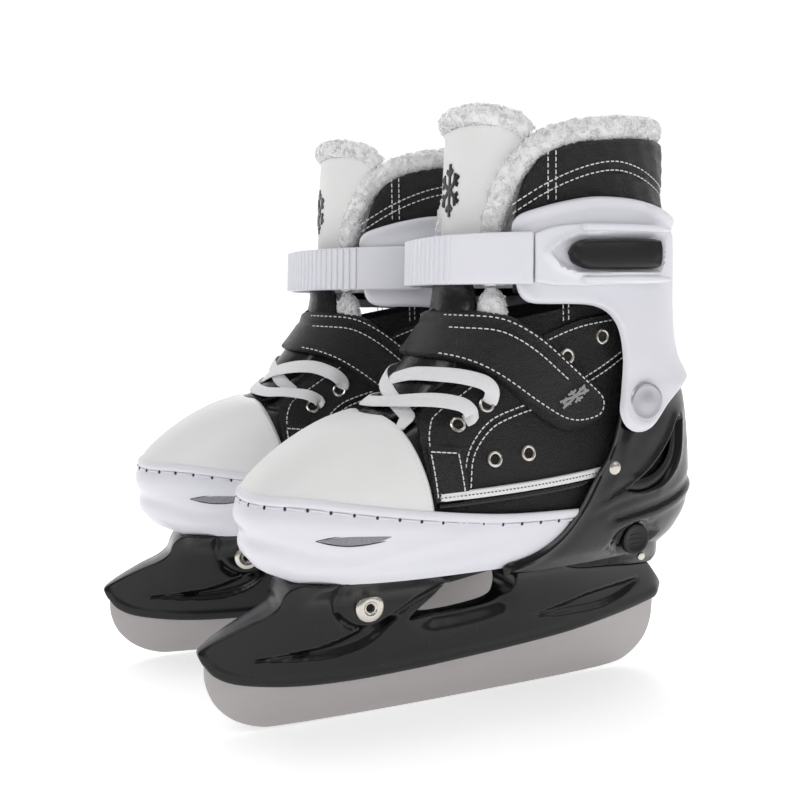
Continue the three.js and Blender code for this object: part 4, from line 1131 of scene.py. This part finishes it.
# %% [markdown]
# ## Button, lock pin and rivets
# The push button lets the slide go. It is a domed disc with a dished face and a fine rim. The steel
# pin end shows below it, and small nickel rivets join the boot to the shell.

# %% Button, pin and rivets
def node_face(node_name, side=1):
    """How far out a CAD node of the left skate reaches, in the skate's millimetres."""
    low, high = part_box(node_name + "_l")
    corner = SKATES["l"].inverted() @ Vector((high if side > 0 else low))
    return corner.x


button_x = node_face("size_button")
button = turned([(8, -3.4), (8, -1.0), (7.7, -0.3), (7.1, 0), (6.2, -0.1), (5.4, -0.45), (2.5, -0.62),
                 (0.02, -0.65)],
                (button_x, *BUTTON), (1, 0, 0), 56)
on_both("push_button", button, black_satin, "button", ["size_button"])
grip_lines = [np.column_stack([np.full(9, button_x - 0.62), BUTTON[0] + np.linspace(-w, w, 9),
                               np.full(9, BUTTON[1] + h)])
              for h, w in ((-2.4, 3.0), (0, 3.9), (2.4, 3.0))]
ribs_on_button = join(*[sweep(line, np.tile((1, 0, 0), (9, 1)), oval(0.8, 0.6, 8)) for line in grip_lines])
on_both("push_button_ribs", ribs_on_button, black_satin, "button")
pin_x = node_face("lock_pin")
pin = turned([(2.2, -1.6), (2.2, -0.6), (1.9, -0.15), (1.3, 0), (0.02, 0.05)],
             (pin_x, BUTTON[0] + 6, BUTTON[1] - 10.5), (1, 0, 0), 28)
on_both("pin_end", pin, nickel, "button", ["lock_pin"])
for side, which in SIDES:
    face = node_face(f"heel_rivet_{which}", side)
    dome = [(1.4, -3), (3.6, -2.1), (3.7, -1.4), (3.3, -0.7), (2.5, -0.2), (1.2, 0), (0.02, 0.02)]
    rivet = turned(dome, (face, *HEEL_RIVET), (side, 0, 0), 36)
    on_both(f"heel_rivet_{which}_head", rivet, nickel, "heel", [f"heel_rivet_{which}"])

# %% [markdown]
# ## Cuff
# The white moulding that turns on the ankle pivots. Two slim arms rise from the pivots to a band
# round the shin, with a rolled upper lip and a wing that reaches forward under the strap. The arms
# flare a little at the back of the heel.

# %% Cuff
CUFF_IN, CUFF_OUT = 8.8, 11.4
CUFF_TOP = [(150, 246), (122, 246.6), (106, 248.4), (92, 251.6), (76, 254.2), (60, 255.2), (46, 254.8),
            (32, 252.6), (20, 249.8), (10, 246.6), (6.2, 243.5)]
CUFF_FRONT = [(5, 239), (5.4, 226), (7, 213), (9.4, 207), (14, 204.4)]
CUFF_WING = [(22, 203.8), (36, 203.6), (48, 202.6), (57, 199), (63.4, 192), (66.4, 182), (67, 170),
             (66, 160), (65, 152), (67.6, 145.6), (72.6, 141.8), (79, 140.5), (86, 141.8), (91.6, 146),
             (98, 151.5), (108, 157.5), (120, 163), (150, 169)]
cuff_path = seen_from_side(CUFF_TOP + CUFF_FRONT + CUFF_WING, CUFF_OUT)
cuff_path[0, 0] = cuff_path[-1, 0] = np.pi


def cuff_sculpt(points):
    y, z = points[:, 1], points[:, 2]
    lip = near_path(y, z, curved([(y, z - 2.2) for y, z in CUFF_TOP]), 2.6)
    below_lip = near_path(y, z, curved([(y, z - 6.6) for y, z in CUFF_TOP]), 2.8)
    wing_edge = [(a + 1.5, b + 1.8) for a, b in CUFF_FRONT[2:]] + [(a - 0.6, b + 2) for a, b in CUFF_WING[:5]]
    wing_lip = near_path(y, z, curved(wing_edge), 2.4)
    flare = np.clip((y - 84) / 30, 0, 1) * np.exp(-((z - 168) / 13) ** 2)
    waist = np.clip((y - 84) / 30, 0, 1) * np.exp(-((z - 202) / 20) ** 2)
    flat_eye = np.exp(-(((y - PIVOT[0]) / 12) ** 2 + ((z - PIVOT[1]) / 12) ** 2) ** 2)
    return 0.9 * lip - 1.1 * below_lip + 0.7 * wing_lip + 1.6 * flare - 1.2 * waist - 0.3 * flat_eye


cuff = panel([across_heel(cuff_path)], CUFF_IN, CUFF_OUT, edge=1.5, step=2.4, swell=cuff_sculpt)
on_both("moulded_cuff", cuff, white_pp, "cuff", ["cuff"], sharp=60)

# %% [markdown]
# ## Pivot caps
# A wide, shallow disc of silver-lacquered plastic covers each pivot. Its rim is chamfered, and the
# face is very slightly domed.

# %% Pivot caps
for side, which in SIDES:
    face = node_face(f"pivot_rivet_{which}", side)
    disc = [(9.4, -3.6), (10, -2.9), (10, -1.6), (9.7, -1.0), (8.9, -0.5), (8.2, -0.45), (7.6, -0.6),
            (4, -0.2), (0.02, -0.1)]
    on_both(f"pivot_cap_{which}", turned(disc, (face, *PIVOT), (side, 0, 0), 64), silver_cap, "heel",
            [f"pivot_rivet_{which}"])

# %% [markdown]
# ## Ratchet strap
# A stiff white nylon band round the front of the shin. Fine teeth cross it at the front, so that
# the catch can hold it. At one end it is riveted to the cuff, at the other it enters the buckle.

# %% Ratchet strap
STRAP_IN, STRAP_OUT = 13.5, 16.1
STRAP_Z = (213.2, 237.8)
STRAP_RIVET = (44, 225.5)
TEETH_FIRST, TEETH_LAST, TEETH_PITCH = -0.98, 0.5, 0.062
outer_end = seen_from_side([(13, 225), (13.01, 226)], STRAP_OUT)[0, 0]
inner_end = -seen_from_side([(52, 225), (52.01, 226)], STRAP_OUT)[0, 0]
strap_loop = np.array([(outer_end, STRAP_Z[0]), (outer_end, STRAP_Z[1]), (0.2, STRAP_Z[1] - 0.6),
                       (-0.6, STRAP_Z[1] - 0.6), (inner_end + 0.12, STRAP_Z[1]),
                       (inner_end + 0.02, STRAP_Z[1] - 3), (inner_end, 225.5),
                       (inner_end + 0.02, STRAP_Z[0] + 3), (inner_end + 0.12, STRAP_Z[0]),
                       (-0.6, STRAP_Z[0] + 0.6), (0.2, STRAP_Z[0] + 0.6)])
strap_band = panel([strap_loop], STRAP_IN, STRAP_OUT, edge=0.9, step=2.2)
teeth = []
for angle in np.arange(TEETH_FIRST, TEETH_LAST, TEETH_PITCH):
    z = np.linspace(STRAP_Z[0] + 1.2, STRAP_Z[1] - 1.2, 14)
    a = np.full(14, angle)
    lift = STRAP_OUT - 0.1
    teeth.append(sweep(skin(a, z, lift), skin_normal(a, z, lift), oval(2.0, 2.0, 8, power=2.6)))
on_both("ratchet_strap_band", join(strap_band, *teeth), white_strap, "strap", ["ratchet_strap"],
        sharp=60)
rivet_face = node_face("strap_rivet", -1)
dome = [(4.3, -2.2), (4.5, -1.6), (4.1, -0.9), (3.2, -0.35), (1.6, -0.05), (0.02, 0)]
on_both("strap_rivet_head", turned(dome, (rivet_face, *STRAP_RIVET), (-1, 0, 0), 36), nickel, "strap",
        ["strap_rivet"])

# %% [markdown]
# ## Buckle and lever
# The buckle is a white moulding with a raised, pointed-oval frame round a black lever. Two cheeks
# hold the lever's pin, and the lever lifts from its front end.

# %% Buckle base
BUCKLE_IN, BUCKLE_OUT = 11.7, 15.8
CHEEK_IN, CHEEK_OUT = 15.0, 19.2
BUCKLE = np.concatenate([curved([(13.5, 214.2), (24, 212.6), (42, 212.2), (70, 213.4), (84, 216),
                                 (90.4, 222)]),
                         curved([(91, 228), (88.6, 236), (82, 240.4), (66, 241.6), (42, 241.8), (24, 240.2),
                                 (13.5, 237)])])
OVAL = np.concatenate([curved([(20, 228), (25, 222.4), (32, 219.2), (42, 218), (84, 219)]),
                       curved([(85.6, 222), (85.6, 234), (84, 237.2), (44, 236.8), (33, 235.8),
                               (25.5, 232.6)])])


def buckle_sculpt(points):
    y, z = points[:, 1], points[:, 2]
    ring = near_path(y, z, resample(OVAL, 1, closed=True), 2.2)
    step_up = np.clip((y - 40) / 3, 0, 1) * (1 - within(y, z, OVAL, 1.0))
    return 2.2 * ring - 2.2 * within(y, z, OVAL, 2.0) + 0.9 * step_up


buckle_base = side_panel(BUCKLE, BUCKLE_IN, BUCKLE_OUT, edge=1.0, step=1.4, swell=buckle_sculpt)
cheeks = []
for z0 in (212.9, 237.4):
    loop = curved([(37, z0 + 0.4), (42, z0), (84, z0 + 0.3), (92.5, z0 + 1.6), (92.5, z0 + 3.2),
                   (84, z0 + 4.2), (42, z0 + 4.2), (37, z0 + 3.8)], closed=True)
    cheeks.append(side_panel(loop, CHEEK_IN, CHEEK_OUT, edge=1.3, step=1.6))
on_both("buckle_frame", join(buckle_base, *cheeks), white_strap, "cuff", ["buckle_base"],
        sharp=60)

# %% [markdown]
# The lever is crowned along its length and tapers to a rounded nose where a thumb lifts it. Two
# shallow pits mark the pivot end.

# %% Lever and its pin
LEVER_IN, LEVER_OUT = 15.2, 19.6
LEVER = np.concatenate([curved([(29, 227.6), (31, 223.4), (36, 221), (44, 219.9), (80, 220.2), (84, 221.8)]),
                        curved([(84.6, 225), (84.2, 232.6), (80, 234.9), (44, 234.2), (36, 233.6),
                                (31, 231.4)])])


def lever_crown(points):
    y, z = points[:, 1], points[:, 2]
    pits = sum(np.exp(-(((y - 80) / 1.1) ** 2 + ((z - p) / 1.1) ** 2)) for p in (224, 231))
    return 0.7 - 0.012 * (z - 227.5) ** 2 - 0.5 * pits + 0.5 * np.exp(-((y - 33) / 4) ** 2)


lever = side_panel(LEVER, LEVER_IN, LEVER_OUT, edge=2.0, step=1.4, swell=lever_crown)
on_both("buckle_lever_cover", lever, black_satin, "lever", ["buckle_lever"])
pin_low, pin_high = (SKATES["l"].inverted() @ Vector(p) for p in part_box("lever_pin_l"))
pin_x, pin_y = ((pin_low[k] + pin_high[k]) / 2 for k in (0, 1))
on_both("lever_hinge_pin", turned([(0.02, 0), (1.3, 0.1), (1.5, 0.5), (1.5, 23.3), (1.3, 23.7), (0.02, 23.8)],
                                  (pin_x, pin_y, 215.2), (0, 0, 1), 20), nickel, "cuff", ["lever_pin"])
for tag in SKATES:
    for carried in ("footbed", "size_rail"):
        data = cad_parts[f"{carried}_{tag}"].data
        data.materials.clear()
        data.materials.append(foam_cloth if carried == "footbed" else black_satin)

# %% [markdown]
# ## Collar
# The padded leather collar rises from the cuff round the back and sides of the shin. It is one
# stuffed panel whose seams pull in: two vertical rows on each side, and two that arch over them.

# %% Collar
COLLAR_IN, COLLAR_OUT = 0.2, 5.4
SEAM_GAP = 4.2
COLLAR_FRONT = [(8, 209), (7.8, 225), (8.4, 240), (10, 251), (13.2, 261.5), (18.5, 270)]
COLLAR_TOP = [(26, 276.2), (36, 280.2), (50, 282.8), (66, 284.6), (84, 286), (104, 287.4), (140, 289)]
ARCH_SEAM = [(8.5, 246.6), (14, 250.4), (24, 256.4), (36, 262), (50, 266.6), (64, 268.6), (78, 266.6),
             (92, 262), (106, 257), (118, 255)]
UPRIGHT_SEAM = [(25.6, 277), (25.6, 252)]


def collar_pad(points):
    """Stuffing: full between the seams, and pulled in along them."""
    y, z = points[:, 1], points[:, 2]
    seams_at = [curved(ARCH_SEAM), curved([(a, b + SEAM_GAP) for a, b in ARCH_SEAM]),
                resample(UPRIGHT_SEAM, 1), resample([(a + 4, b) for a, b in UPRIGHT_SEAM], 1)]
    pull = np.max([near_path(y, z, s, 2.4) for s in seams_at], 0)
    wrinkle = 0.18 * np.sin(z * 0.9 + 2.2 * np.sin(y * 0.13)) + 0.15 * np.sin(y * 0.55 + z * 0.21)
    return 0.9 * (1 - pull) + wrinkle


collar_half = seen_from_side(COLLAR_TOP[::-1] + COLLAR_FRONT[::-1], COLLAR_OUT)
collar_half = np.concatenate([collar_half, [[np.pi, collar_half[-1, 1]]]])
collar_half[0, 0] = np.pi
collar = panel([across_heel(collar_half)], COLLAR_IN, COLLAR_OUT, edge=3.2, step=2.2, swell=collar_pad)
stuffed(on_both("padded_collar", collar, black_leather, "cuff", ["collar"]))
arches = stitched([ARCH_SEAM, [(a, b + SEAM_GAP) for a, b in ARCH_SEAM]], COLLAR_OUT + 0.2)
uprights = stitched([UPRIGHT_SEAM, [(a + 4, b) for a, b in UPRIGHT_SEAM]], COLLAR_OUT + 0.2)
on_both("collar_stitches", join(arches, uprights), white_thread, "cuff")

# %% [markdown]
# ## Fleece
# A curly fleece lines the boot, rolls over the collar's top and runs down both front edges. The
# roll is a soft lumpy tube, and thousands of small curls stand on it: each is a short tube bent
# round three quarters of a ring, stamped at a random turn.

# %% Fleece roll and curls
CURL_DENSITY = 0.5  # curls to a square millimetre
ROLL_SIDES = 22
turn = np.linspace(0, 1.5 * np.pi, 7)
CURL = sweep(np.column_stack([np.cos(turn), np.sin(turn) * 0.5, 0.2 + np.sin(turn * 0.66) * 0.9]),
             np.tile((0, 0, 1), (7, 1)), oval(0.46, 0.46, 6))


def lumps(points, size=0.7):
    x, y, z = points.T
    over_x = np.sin(x * 0.71 + 1.3 * np.sin(z * 0.5))
    over_y = np.sin(y * 0.63 + 1.1 * np.sin(x * 0.47))
    return size * (over_x * over_y * np.sin(z * 0.77 + y * 0.2))


def fuzzy(shape, density, low=0.6, high=1.15):
    """Curls scattered over a mesh of quads, `density` per square millimetre."""
    verts, faces = shape
    quads = np.concatenate([f for f in faces if f.shape[1] == 4])
    a, b, c, d = (verts[quads[:, k]] for k in range(4))
    normal = np.cross(c - a, d - b)
    area = np.linalg.norm(normal, axis=1) / 2
    pick = rng.choice(len(quads), int(area.sum() * density), p=area / area.sum())
    u, v = rng.random((2, len(pick), 1))
    at = (a[pick] * (1 - u) + b[pick] * u) * (1 - v) + (d[pick] * (1 - u) + c[pick] * u) * v
    tip = unit(unit(normal[pick]) + rng.normal(0, 0.35, (len(pick), 3)))
    hint = unit(rng.normal(0, 1, (len(pick), 3)))
    first = unit(np.cross(hint, tip))
    axes = np.stack([first, np.cross(tip, first), tip], 1)
    size = rng.uniform(low, high, (len(pick), 1)) * (1, 1, 0.8)
    return stamp(CURL, at, axes, size)


def fleece_roll(side_path, grow, width, thick, round_heel=False):
    """A lumpy roll of fleece along a side-view path, carried round the heel to the inner side or not."""
    spot = seen_from_side(side_path, grow, 1.0)
    both = np.concatenate([spot, (spot * (-1, 1) + (2 * np.pi, 0))[::-1]]) if round_heel else spot
    both = both[np.concatenate([[True], np.linalg.norm(np.diff(both * (60, 1), axis=0), axis=1) > 0.3])]
    at, up_of = skin(both[:, 0], both[:, 1], grow), skin_normal(both[:, 0], both[:, 1], grow)
    at = resample(np.column_stack([at, up_of]), 1.6)
    at, up_of = at[:, :3], unit(at[:, 3:])
    taper = np.clip(np.minimum(np.arange(len(at)), np.arange(len(at))[::-1]) / 4, 0.15, 1) ** 0.5
    roll = sweep(at, up_of, np.stack([oval(width * t, thick * t, ROLL_SIDES) for t in taper]))
    verts = roll[0]
    centre = np.repeat(at, ROLL_SIDES, 0)
    return verts + unit(verts - centre) * lumps(verts)[:, None], roll[1]


ROLL_TOP = [(1.5, 213), (1.6, 226), (2.4, 240), (4.8, 252), (8.6, 262), (14.6, 271.6), (22, 278.6),
            (33, 284), (48, 287.4), (66, 289.6), (84, 291), (104, 292.2), (122, 292.6)]
roll = fleece_roll(ROLL_TOP, 0.6, 11.0, 10.5, round_heel=True)


def lining_top(angle):
    """The lining's edge rises by 8 mm from the front to the heel."""
    return 282 + 8 * np.clip((angle - 1.2) / 1.4, 0, 1) * np.clip((2 * np.pi - 1.2 - angle) / 1.4, 0, 1)


lining = wrap(level(213), lining_top, -3.4, rows=50, columns=150, first=0.62, last=2 * np.pi - 0.62,
              bump=lambda p: lumps(p, 0.8))
upper_lining = (lining[0], [lining[1][0][len(lining[1][0]) // 2:]])
fleece_shape = join(roll, lining, fuzzy(roll, CURL_DENSITY), fuzzy(upper_lining, 0.3 * CURL_DENSITY))
stuffed(on_both("fleece_lining", fleece_shape, fleece, "cuff", ["fur_lining"], sharp=180))
flaps = [fleece_roll([(3.5, 190), (2.0, 200), (1.6, 212)], 0.6, 12, 8)]
flaps.append((flaps[0][0] * (-1, 1, 1), [f[:, ::-1] for f in flaps[0][1]]))
flap_shape = join(*flaps, *[fuzzy(f, CURL_DENSITY) for f in flaps])
stuffed(on_both("fleece_flaps", flap_shape, fleece, "heel", sharp=180))

# %% [markdown]
# ## Tongue
# The upper tongue is a padded white leather panel with fleece over its top. It follows the shin and
# moves with the cuff. A plain snow-crystal sign, in smooth black print, stands on it.

# %% Tongue
TONGUE = [(0, 292.5), (18, 292.5), (29, 291), (34, 285), (34.5, 264), (31, 242), (26, 229), (15, 221.5),
          (0, 220.5)]
TONGUE_OUT = -1.6
tongue = panel([throat_loop(TONGUE)], TONGUE_OUT - 4.2, TONGUE_OUT, edge=2.6, step=2.2,
               swell=lambda p: 0.5 + 0.12 * np.sin(p[:, 2] * 0.5) * np.exp(-(p[:, 0] / 14) ** 2))
stuffed(on_both("white_tongue", tongue, white_leather, "cuff", ["tongue"]))
top_path = throat_loop([(34.5, 285), (32, 291), (25, 294.6), (13, 296), (0, 296.4)])
top_path = top_path[np.argsort(top_path[:, 0])]
at = skin(top_path[:, 0], top_path[:, 1], TONGUE_OUT - 1.6)
line = resample(np.column_stack([at, skin_normal(top_path[:, 0], top_path[:, 1], 2.0)]), 1.6)
tuft = sweep(line[:, :3], unit(line[:, 3:]), oval(9.5, 10, ROLL_SIDES))
outward = unit(tuft[0] - np.repeat(line[:, :3], ROLL_SIDES, 0))
tuft_shape = (tuft[0] + outward * lumps(tuft[0], 0.6)[:, None], tuft[1])
back = panel([throat_loop([(0, 293), (27, 291), (30, 280), (27, 226), (16, 219), (0, 219)])], -8.4, -5.4,
             edge=2, step=3)
stuffed(on_both("tongue_fleece", join(tuft_shape, fuzzy(tuft_shape, CURL_DENSITY), back), fleece, "cuff",
                sharp=180))


def snow_crystal(middle_angle, middle_height, radius, grow, width, thick):
    """Six arms with short branches, laid on the form round a place."""
    bars = []
    turn_by = np.array([middle_angle - 0.02, middle_angle + 0.02])
    around = np.linalg.norm(np.diff(skin(turn_by, np.full(2, middle_height), grow), axis=0)) / 0.04
    for k in range(6):
        d = np.array([math.cos(k * math.pi / 3 + math.pi / 6), math.sin(k * math.pi / 3 + math.pi / 6)])
        ends = [(d * 0, d * radius)]
        for bend in (-0.9, 0.9):
            c, s = math.cos(bend), math.sin(bend)
            branch = np.array([d[0] * c - d[1] * s, d[0] * s + d[1] * c]) * radius * 0.34
            ends.append((d * radius * 0.55, d * radius * 0.55 + branch))
        for start, end in ends:
            flat = start + (end - start) * np.linspace(0, 1, 8)[:, None]
            a, h = middle_angle + flat[:, 0] / around, middle_height + flat[:, 1]
            bars.append(sweep(skin(a, h, grow), skin_normal(a, h, grow), oval(width, thick, 8, power=3)))
    return join(*bars)


on_both("tongue_sign", snow_crystal(0.02, 261, 13, TONGUE_OUT + 0.75, 2.4, 0.8), smooth_leather, "cuff")
tab_spot = seen_from_side([(38.5, 158.5), (38.6, 158.6)], INSTEP_OUT)[0]
on_both("strap_sign", snow_crystal(tab_spot[0], tab_spot[1], 6.4, INSTEP_OUT + 0.55, 1.3, 0.5), print_grey,
        "heel")

# %% [markdown]
# ## Studio
# A white sweep of paper and four soft discs of light: a key from the camera's left, a fill from its
# right, one overhead, and one behind that draws the edges of the black parts.

# %% Studio
WORLD_LIGHT, PAPER_GLOW = 0.34, 0.46
scene.view_settings.view_transform = "Standard"
world = bpy.data.worlds.new("studio")
scene.world = world
world.use_nodes = True
world.node_tree.nodes["Background"].inputs["Color"].default_value = rgb("#ffffff")
world.node_tree.nodes["Background"].inputs["Strength"].default_value = WORLD_LIGHT
away = scene.camera.matrix_world.to_quaternion() @ Vector((0, 0, -1))
away = unit(np.array([away.x, away.y, 0.0]))
across = np.array([-away[1], away[0], 0.0])
bend = np.linspace(0, math.pi / 2, 16)
arc = [(1.5 + 1.2 * math.sin(b), 1.2 - 1.2 * math.cos(b)) for b in bend]
profile = [(-6.0, 0.0), (-2.0, 0.0), (0.0, 0.0), *arc, (2.7, 6.0)]
rows = [across * w + away * along + (0, 0, up - 0.0005) for along, up in profile for w in (-7, 7)]
strips = np.array([[2 * k, 2 * k + 1, 2 * k + 3, 2 * k + 2] for k in range(len(profile) - 1)])
paper = finish("white_studio_paper", "#ffffff", "#fdfdfd", (0.9, 1.0), "noise", 3.0, 0.01,
               **{"Emission Color": rgb("#ffffff"), "Emission Strength": PAPER_GLOW})
floor = mesh_object("paper_sweep", (np.array(rows), [strips]), paper, sharp=180)
LAMPS = [  # name, place, size, watts
    ("key", (0.9, -1.3, 1.5), 1.0, 7.5),
    ("fill", (1.3, 0.9, 0.9), 1.0, 2.4),
    ("top", (-0.2, 0.1, 1.9), 1.2, 6.5),
    ("back", (-1.3, 0.6, 0.9), 0.9, 5)]
AIM = Vector((0, 0, 0.12))
for name, place, size, watts in LAMPS:
    lamp_data = bpy.data.lights.new(name, "AREA")
    lamp_data.shape, lamp_data.size, lamp_data.energy = "DISK", size, watts
    lamp = bpy.data.objects.new(name, lamp_data)
    lamp.location = place
    lamp.rotation_euler = (AIM - Vector(place)).to_track_quat("-Z", "Y").to_euler()
    scene.collection.objects.link(lamp)
print("lights:", [lamp[0] for lamp in LAMPS])
